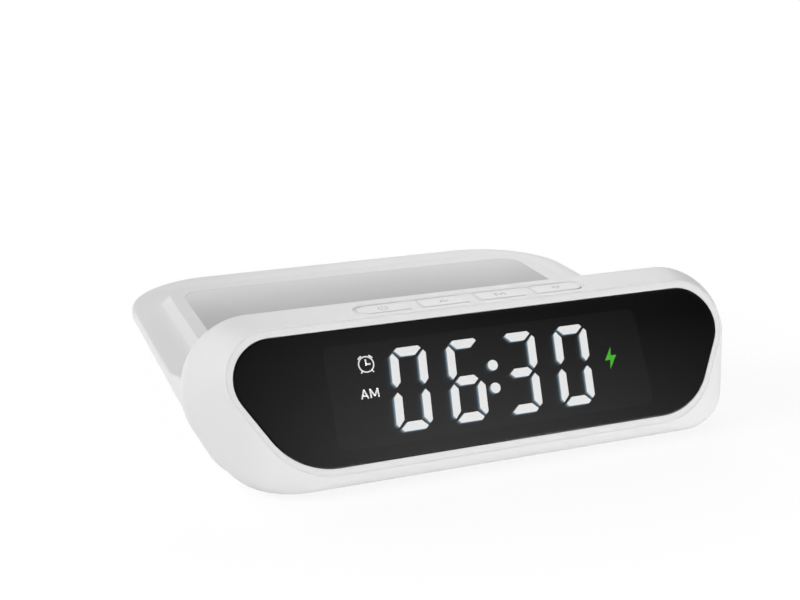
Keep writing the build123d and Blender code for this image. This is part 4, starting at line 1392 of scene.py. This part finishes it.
@dataclass
class Display:
    """Lit bars of the digits, their side walls with a painted glow beyond them, and the small lit signs
    behind the pane.
    """

    depth: float = 1.27
    bar_span: Pair = (-0.02, 0.3)
    pitch: float = 12.95
    half_w: float = 4.2
    half_h: float = 9.0
    bar: float = 2.05
    mitre: float = 0.45
    cut: float = 0.6
    split: float = 0.5
    slant: float = 5.1
    dot_r: float = 1.15
    dot_space: float = 5.0
    trim: Pair = (0.22, 0.12)
    wall_shift: Pair = (-0.62, -0.26)
    wall_fall: float = 0.025
    # Near light of the side walls, and far light of the painted glow beyond them.
    wall_and_glow_light: Pair = (0.9, 0.1)
    wall_power: float = 1.3
    sign_t: float = 0.04
    digits: Tuple[str, ...] = ("abcdef", "acdefg", "abcdg", "abcdef")

    DOT_N, DOTS, DECIMALS = 25, 2, 6
    # Shares up to 1 run over the side wall, those beyond 1 over the painted glow.
    WALL_SHARES = np.array([0.0, 0.2, 0.4, 0.6, 0.8, 1.0, 1.6, 2.3, 3.0])
    BOLT = np.array([(0.55, 2.47), (-1.48, -0.4), (-0.12, -0.4), (-0.6, -2.47), (1.54, 0.57), (0.17, 0.57)])
    BOLT_FACES = [[0, 1, 2, 5], [2, 3, 4, 5]]

    def bar_outlines(self) -> Dict[str, Grid]:
        """Six-cornered outline of each bar of an upright digit, by its letter.

        A top bar, a side bar and the middle bar are drawn once from the digit's half sizes, the
        bar's width and its mitres, and mirrored for the others.

        Returns:
            Corners (x, s) of each bar.
        """
        w, h, bar, cut = self.half_w, self.half_h, self.bar, self.cut
        reach, low, half = w - self.mitre, h - self.mitre, bar / 2
        end = w - half - self.mitre
        top = np.array(
            [(reach - 2 * cut, h), (reach - cut, h - cut), (reach - bar, h - bar)]
            + [(bar - reach, h - bar), (cut - reach, h - cut), (2 * cut - reach, h)]
        )
        side = np.array(
            [(w, low - 2 * cut), (w, self.split + half), (w - half, self.split)]
            + [(w - bar, self.split + half), (w - bar, low - bar), (w - cut, low - cut)]
        )
        middle = np.array(
            [(-end, 0), (half - end, half), (end - half, half)]
            + [(end, 0), (end - half, -half), (half - end, -half)]
        )
        flip_x, flip_s = np.array([-1.0, 1.0]), np.array([1.0, -1.0])
        return {
            "a": top,
            "b": side,
            "c": side[::-1] * flip_s,
            "d": top[::-1] * flip_s,
            "e": side * flip_x * flip_s,
            "f": side[::-1] * flip_x,
            "g": middle,
        }

    def trimmed(self, bar: Grid) -> Grid:
        """Bar whose left and lower corners are moved in, where the pane shows its dim side wall.

        Args:
            bar: Corners (x, s) of the bar.

        Returns:
            The corners moved by trim (1 - sign(corner - middle)) / 2.
        """
        middle = (bar.min(axis=0) + bar.max(axis=0)) / 2
        side = np.sign(np.round(bar - middle, self.DECIMALS))
        return bar + np.array(self.trim) * (1 - side) / 2

    def shapes(self) -> List[Grid]:
        """Slanted outlines of every lit bar and of the two dots, clockwise from the front.

        Bars are slanted by x + s tan(slant); a dot is r (cos t, sin t) around its place.

        Returns:
            Corners (x, s) of each outline, the dots last.
        """
        lean = math.tan(math.radians(self.slant))
        bars = {letter: self.trimmed(bar) for letter, bar in self.bar_outlines().items()}
        turn = np.linspace(0, -2 * math.pi, self.DOT_N)[:-1]
        dot = self.dot_r * np.column_stack([np.cos(turn), np.sin(turn)])
        first = (len(self.digits) - 1) / 2
        upright = [
            bars[letter] + ((place - first) * self.pitch, 0.0)
            for place, letters in enumerate(self.digits)
            for letter in letters
        ]
        slanted = [np.column_stack([loop[:, 0] + loop[:, 1] * lean, loop[:, 1]]) for loop in upright]
        rises = (-self.dot_space / 2, self.dot_space / 2)
        return slanted + [dot + (rise * lean, rise) for rise in rises]

    def place(self, flat: Grid, depth: float) -> Grid:
        """Points (x, s) of the display in space, behind its own plane by a depth."""
        return FACE.face.place(flat - (0.0, FACE.drop), self.depth + depth)

    def bars(self, palette: Palette) -> None:
        """Lit bars as prisms of their trimmed outlines.

        Args:
            palette: Finishes of the clock.
        """
        loops = self.shapes()[: -self.DOTS]
        prisms = [Patch.capped([self.place(loop, depth) for depth in self.bar_span]) for loop in loops]
        lit, finish = Patch.joined(prisms), palette["lit_bar_white"]
        make_piece("lit_bars", lit, finish, Body.HOUSING, ["digit_segments"])

    def walls(self, palette: Palette) -> None:
        """Dim side walls of the bars, which the pane shows beside and below them, carried on as a painted
        glow around the bars.

        Each wall is the bar's outline carried along t times a shift: up to t = 1 the side wall, beyond it the
        painted glow; its light falls off as near max(0, 1 - t)^p + far (1 - t / t_last)^2, where the far term
        is the painted glow.

        Args:
            palette: Finishes of the clock.
        """
        t, shift = self.WALL_SHARES, np.array(self.wall_shift)
        near, far = self.wall_and_glow_light
        light = near * np.maximum(0, 1 - t) ** self.wall_power + far * (1 - t / t[-1]) ** 2
        loops = self.shapes()
        patches = [
            Patch.capped([self.place(loop + share * shift, share * self.wall_fall) for share in t])
            for loop in loops
        ]
        sides, finish = Patch.joined(patches), palette["bar_wall_painted_glow_blue"]
        piece = make_piece("bar_walls_painted_glow", sides, finish, Body.HOUSING)
        strength = np.concatenate([np.repeat(light, len(loop)) for loop in loops])
        # The wall attribute holds the light of the side wall and of the painted glow.
        layer = piece.data.attributes.new("wall", "FLOAT", "POINT")
        layer.data.foreach_set("value", strength.astype(np.float32))

    def signs(self, palette: Palette) -> None:
        """Small lit signs: an alarm bell clock, the morning mark and the charging bolt.

        Args:
            palette: Finishes of the clock.
        """
        for sign in LIT_SIGNS:
            ribbons = [Stroke.ribbon(path + sign.place, sign.width) for path in sign.lines]
            patches = [
                Patch.from_stations([self.place(edge, 0.0) for edge in pair], False) for pair in ribbons
            ]
            mark, finish = Patch.joined(patches), palette["lit_bar_white"]
            make_piece(sign.name, mark, finish, Body.HOUSING, solid=self.sign_t)
        bolt, finish = Patch(self.place(self.BOLT + BOLT_AT, 0.0), self.BOLT_FACES), palette["lit_sign_green"]
        make_piece("charging_sign", bolt, finish, Body.HOUSING, solid=self.sign_t)

    def build(self, palette: Palette) -> None:
        """Build the bars, their walls with the painted glow, and the signs.

        Args:
            palette: Finishes of the clock.
        """
        self.bars(palette)
        self.walls(palette)
        self.signs(palette)


@dataclass
class SoftPad:
    """Soft dished pad on the platform."""

    half: float = 49.52
    front: float = -33.587
    rear: float = 42.19
    radius: float = 5.52
    least_r: float = 0.4
    low: float = 12.97
    top: float = 14.54
    edge: float = 0.08
    wall_spare: float = 0.05
    flat: float = 0.3
    slope: float = 15.0
    dish: float = 0.9
    inset: float = 0.5

    EDGE_N, SLOPE_N = 6, 15

    def row(self, inset: float, height: float) -> Grid:
        """Loop of the pad drawn in by an inset."""
        r = max(self.radius - inset, self.least_r)
        return level(plan_loop(self.half - inset, self.front + inset, self.rear - inset, r, r), height)

    def build(self, palette: Palette) -> None:
        """Build the pad: a rounded edge, then a dish of depth d (3 t^2 - 2 t^3) down its slope.

        Args:
            palette: Finishes of the clock.
        """
        rows = [self.row(self.inset, self.low), self.row(0.0, self.low)]
        rows.append(self.row(0.0, self.top - self.edge - self.wall_spare))
        drops = arc_drops(self.EDGE_N, self.edge)
        rows += [self.row(opening, self.top - closing) for closing, opening in drops]
        share = np.linspace(0, 1, self.SLOPE_N)
        fall = self.dish * (3 * share**2 - 2 * share**3)
        rows += [self.row(self.flat + t * self.slope, self.top - drop) for t, drop in zip(share, fall)]
        rows.append(self.row(self.flat + self.slope + self.inset, self.top - self.dish))
        # The pad's finish carries a painted shadow, darker towards the front.
        pad, finish = Patch.capped(rows), palette["soft_pad_grey_painted_shadow"]
        make_piece("dished_pad", pad, finish, Body.HOUSING, ["charging_pad"])


@dataclass
class CarriedNodes:
    """Finishes of the frame's own nodes; a replaced node gets the finish of the piece that stands for it."""

    finishes: Dict[str, Tuple[str, ...]] = field(
        default_factory=lambda: {
            "white_base_satin": ("base_cover", "coil_bracket"),
            "light_box_black_painted_glow": ("display_housing",),
            "lit_bar_white": ("digit_segments", "colon_dots"),
            "unlit_bar_smoke_painted_glow": ("blank_segments",),
            "board_green": ("display_board", "key_board", "main_board"),
            "chip_black": ("key_switches", "board_chips", "buzzer"),
            "coil_copper_wire": ("charging_coil", "coil_leads"),
            "ferrite_grey": ("coil_ferrite",),
            "socket_plating": ("power_socket",),
            "ribbon_cream": ("display_ribbon", "key_ribbon"),
            "screw_zinc": ("small_screws", "case_screws"),
            "foot_rubber_grey": ("rubber_feet",),
            "white_shell_satin": ("upper_shell",),
            "white_ring_grain": ("front_bezel",),
            "smoked_pane": ("display_window",),
            "soft_pad_grey_painted_shadow": ("charging_pad",),
            "key_cap_satin": ("key_power", "key_up", "key_mode", "key_down"),
        }
    )

    def dress(self, palette: Palette) -> None:
        """Give each node its finish.

        Args:
            palette: Finishes of the clock.
        """
        pairs = [(node, finish) for finish, nodes in self.finishes.items() for node in nodes]
        for node, finish in pairs:
            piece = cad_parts[node]
            if not piece.material_slots:
                piece.data.materials.append(None)
            for place in piece.material_slots:
                place.material = palette[finish]
            LOG.info("%s dressed with %s", node, finish)


@dataclass(frozen=True)
class SoftLamp:
    """Square soft lamp that looks at the clock; place and side in metres, power in watts."""

    name: str
    place: Place
    side: float
    power: float
    aim: Place = (0.0, 0.0, 0.02)

    def hang(self) -> None:
        """Hang the lamp and turn it to the clock."""
        light = bpy.data.lights.new(self.name, "AREA")
        light.size = self.side
        light.energy = self.power
        lamp = bpy.data.objects.new(self.name, light)
        lamp.location = self.place
        lamp.rotation_euler = (Vector(self.aim) - Vector(self.place)).to_track_quat("-Z", "Y").to_euler()
        bpy.context.scene.collection.objects.link(lamp)


@dataclass
class Studio:
    """Pale floor, soft light and the camera of the photograph; places and sizes in metres."""

    eye: Place = (-0.11024, -0.28529, 0.11952)
    aim: Place = (0.3371, 0.8888, -0.3105)
    lens: float = 57.06
    sensor: float = 36.0
    near: float = 0.01
    ambient: float = 0.06
    floor_half: float = 4.0
    floor_colour: Colour = (0.9, 0.9, 0.9)
    floor_rough: float = 0.9
    floor_specular: float = 0.1
    floor_share: float = 0.78
    floor_span: Pair = (0.1, 0.3)
    floor_glow: float = 1.08
    sky_axis: Place = (0.45, 0.0, 1.0)
    sky_span: Pair = (0.70, 0.80)
    sky_light: Pair = (1.05, 0.2)
    sky_middle: float = 0.395
    sky_reach: Pair = (0.02, 0.25)
    sky_share: Pair = (1.15, 0.2)
    lamps: Tuple[SoftLamp, ...] = (
        SoftLamp("front_lamp", (0.0, -0.8, 0.15), 0.4, 2.1),
        SoftLamp("front_right_lamp", (0.5, -0.7, 0.08), 0.4, 4.0),
        SoftLamp("left_lamp", (-0.8, 0.0, 0.52), 0.5, 4.4),
        SoftLamp("top_lamp", (0.1, 0.25, 0.9), 0.7, 1.3),
        SoftLamp("rear_left_lamp", (-0.5, 0.6, 0.6), 0.5, 2.1),
        SoftLamp("rear_right_lamp", (0.4, 0.7, 0.6), 0.5, 2.3),
    )

    def camera(self) -> None:
        """Camera at the photograph's place, with no roll and no shift."""
        lens = bpy.data.cameras.new("photo_camera")
        lens.lens = self.lens
        lens.sensor_width = self.sensor
        lens.clip_start = self.near
        camera = bpy.data.objects.new("photo_camera", lens)
        camera.location = self.eye
        camera.rotation_euler = Vector(self.aim).to_track_quat("-Z", "Y").to_euler()
        bpy.context.scene.collection.objects.link(camera)
        bpy.context.scene.camera = camera

    def seen(self, tree: Any) -> Any:
        """Mask of the camera, glossy and transmission rays, which see the plain white background.

        Args:
            tree: Node tree of the world or of the floor.

        Returns:
            Socket of the mask.
        """
        rays = add_node(tree, "LightPath").outputs
        mask = add_math(tree, "MAXIMUM", rays["Is Camera Ray"], rays["Is Glossy Ray"])
        return add_math(tree, "MAXIMUM", mask, rays["Is Transmission Ray"])

    def world(self) -> None:
        """White to the eye, a little even light on the object, and a sky that glossy rays see.

        That sky falls off along an axis: light(d) runs from the first to the second of sky_light
        while d . axis runs through sky_span. It also falls off to both sides: it is multiplied by a
        share that runs smoothly through sky_share while |d_x - sky_middle| runs through sky_reach.
        """
        world = bpy.data.worlds.new("studio")
        bpy.context.scene.world = world
        world.use_nodes = True
        tree = world.node_tree
        toward = add_node(tree, "TexCoord").outputs["Generated"]
        rise = add_node(tree, "VectorMath", {0: toward, 1: self.sky_axis}, operation="DOT_PRODUCT")
        fall = add_range(tree, rise.outputs["Value"], self.sky_span, self.sky_light)
        axes = add_node(tree, "SeparateXYZ", {"Vector": toward}).outputs
        aside = add_math(tree, "ABSOLUTE", add_math(tree, "SUBTRACT", axes["X"], self.sky_middle))
        share = add_range(tree, aside, self.sky_reach, self.sky_share, "SMOOTHSTEP")
        light = add_math(tree, "MULTIPLY", fall, share)
        even = tree.nodes["Background"]
        feed(tree, even, {"Color": WHITE, "Strength": self.ambient})
        white = add_node(tree, "Background", {"Color": WHITE, "Strength": 1.0})
        sky = add_node(tree, "Background", {"Color": WHITE, "Strength": light})
        rays = add_node(tree, "LightPath").outputs
        plain = {0: self.seen(tree), 1: even.outputs[0], 2: white.outputs[0]}
        seen = add_node(tree, "MixShader", plain)
        glossy = {0: rays["Is Glossy Ray"], 1: seen.outputs[0], 2: sky.outputs[0]}
        mirrored = add_node(tree, "MixShader", glossy)
        feed(tree, tree.nodes["World Output"], {"Surface": mirrored.outputs[0]})

    def floor(self) -> None:
        """Pale floor that keeps a light shadow and is white to the eye, more so away from the clock."""
        material, tree, shader = new_material("studio_floor")
        feed(tree, shader, {"Base Color": (*self.floor_colour, 1), "Roughness": self.floor_rough})
        feed(tree, shader, {"Specular IOR Level": self.floor_specular})
        lit = add_node(tree, "Emission", {"Color": WHITE, "Strength": self.floor_glow})
        place = add_node(tree, "TexCoord").outputs["Object"]
        away = add_node(tree, "VectorMath", {0: place}, operation="LENGTH").outputs["Value"]
        spread = add_range(tree, away, self.floor_span, (self.floor_share, 1.0))
        share = add_math(tree, "MULTIPLY", self.seen(tree), spread)
        mix = add_node(tree, "MixShader", {0: share, 1: shader.outputs[0], 2: lit.outputs[0]})
        feed(tree, tree.nodes["Material Output"], {"Surface": mix.outputs[0]})
        half = self.floor_half
        corners = [(-half, -half, 0), (half, -half, 0), (half, half, 0), (-half, half, 0)]
        mesh = bpy.data.meshes.new("studio_floor")
        mesh.from_pydata(corners, [], [[0, 1, 2, 3]])
        mesh.materials.append(material)
        floor = bpy.data.objects.new("studio_floor", mesh)
        bpy.context.scene.collection.objects.link(floor)

    def build(self) -> None:
        """Set up the whole studio."""
        bpy.context.scene.view_settings.view_transform = "Standard"
        self.camera()
        self.world()
        self.floor()
        for lamp in self.lamps:
            lamp.hang()
            LOG.info("%s hung at %s", lamp.name, lamp.place)


def main() -> None:
    """Build the clock's pieces in order."""
    logging.basicConfig(level=logging.INFO, format="%(message)s")
    palette = Palette().build()
    CarriedNodes().dress(palette)
    UpperShell().build(palette)
    for key in KEYS:
        key.build(palette)
    FrontRing().build(palette)
    Pane().build(palette)
    Display().build(palette)
    SoftPad().build(palette)
    Studio().build()


if __name__ == "__main__":
    main()
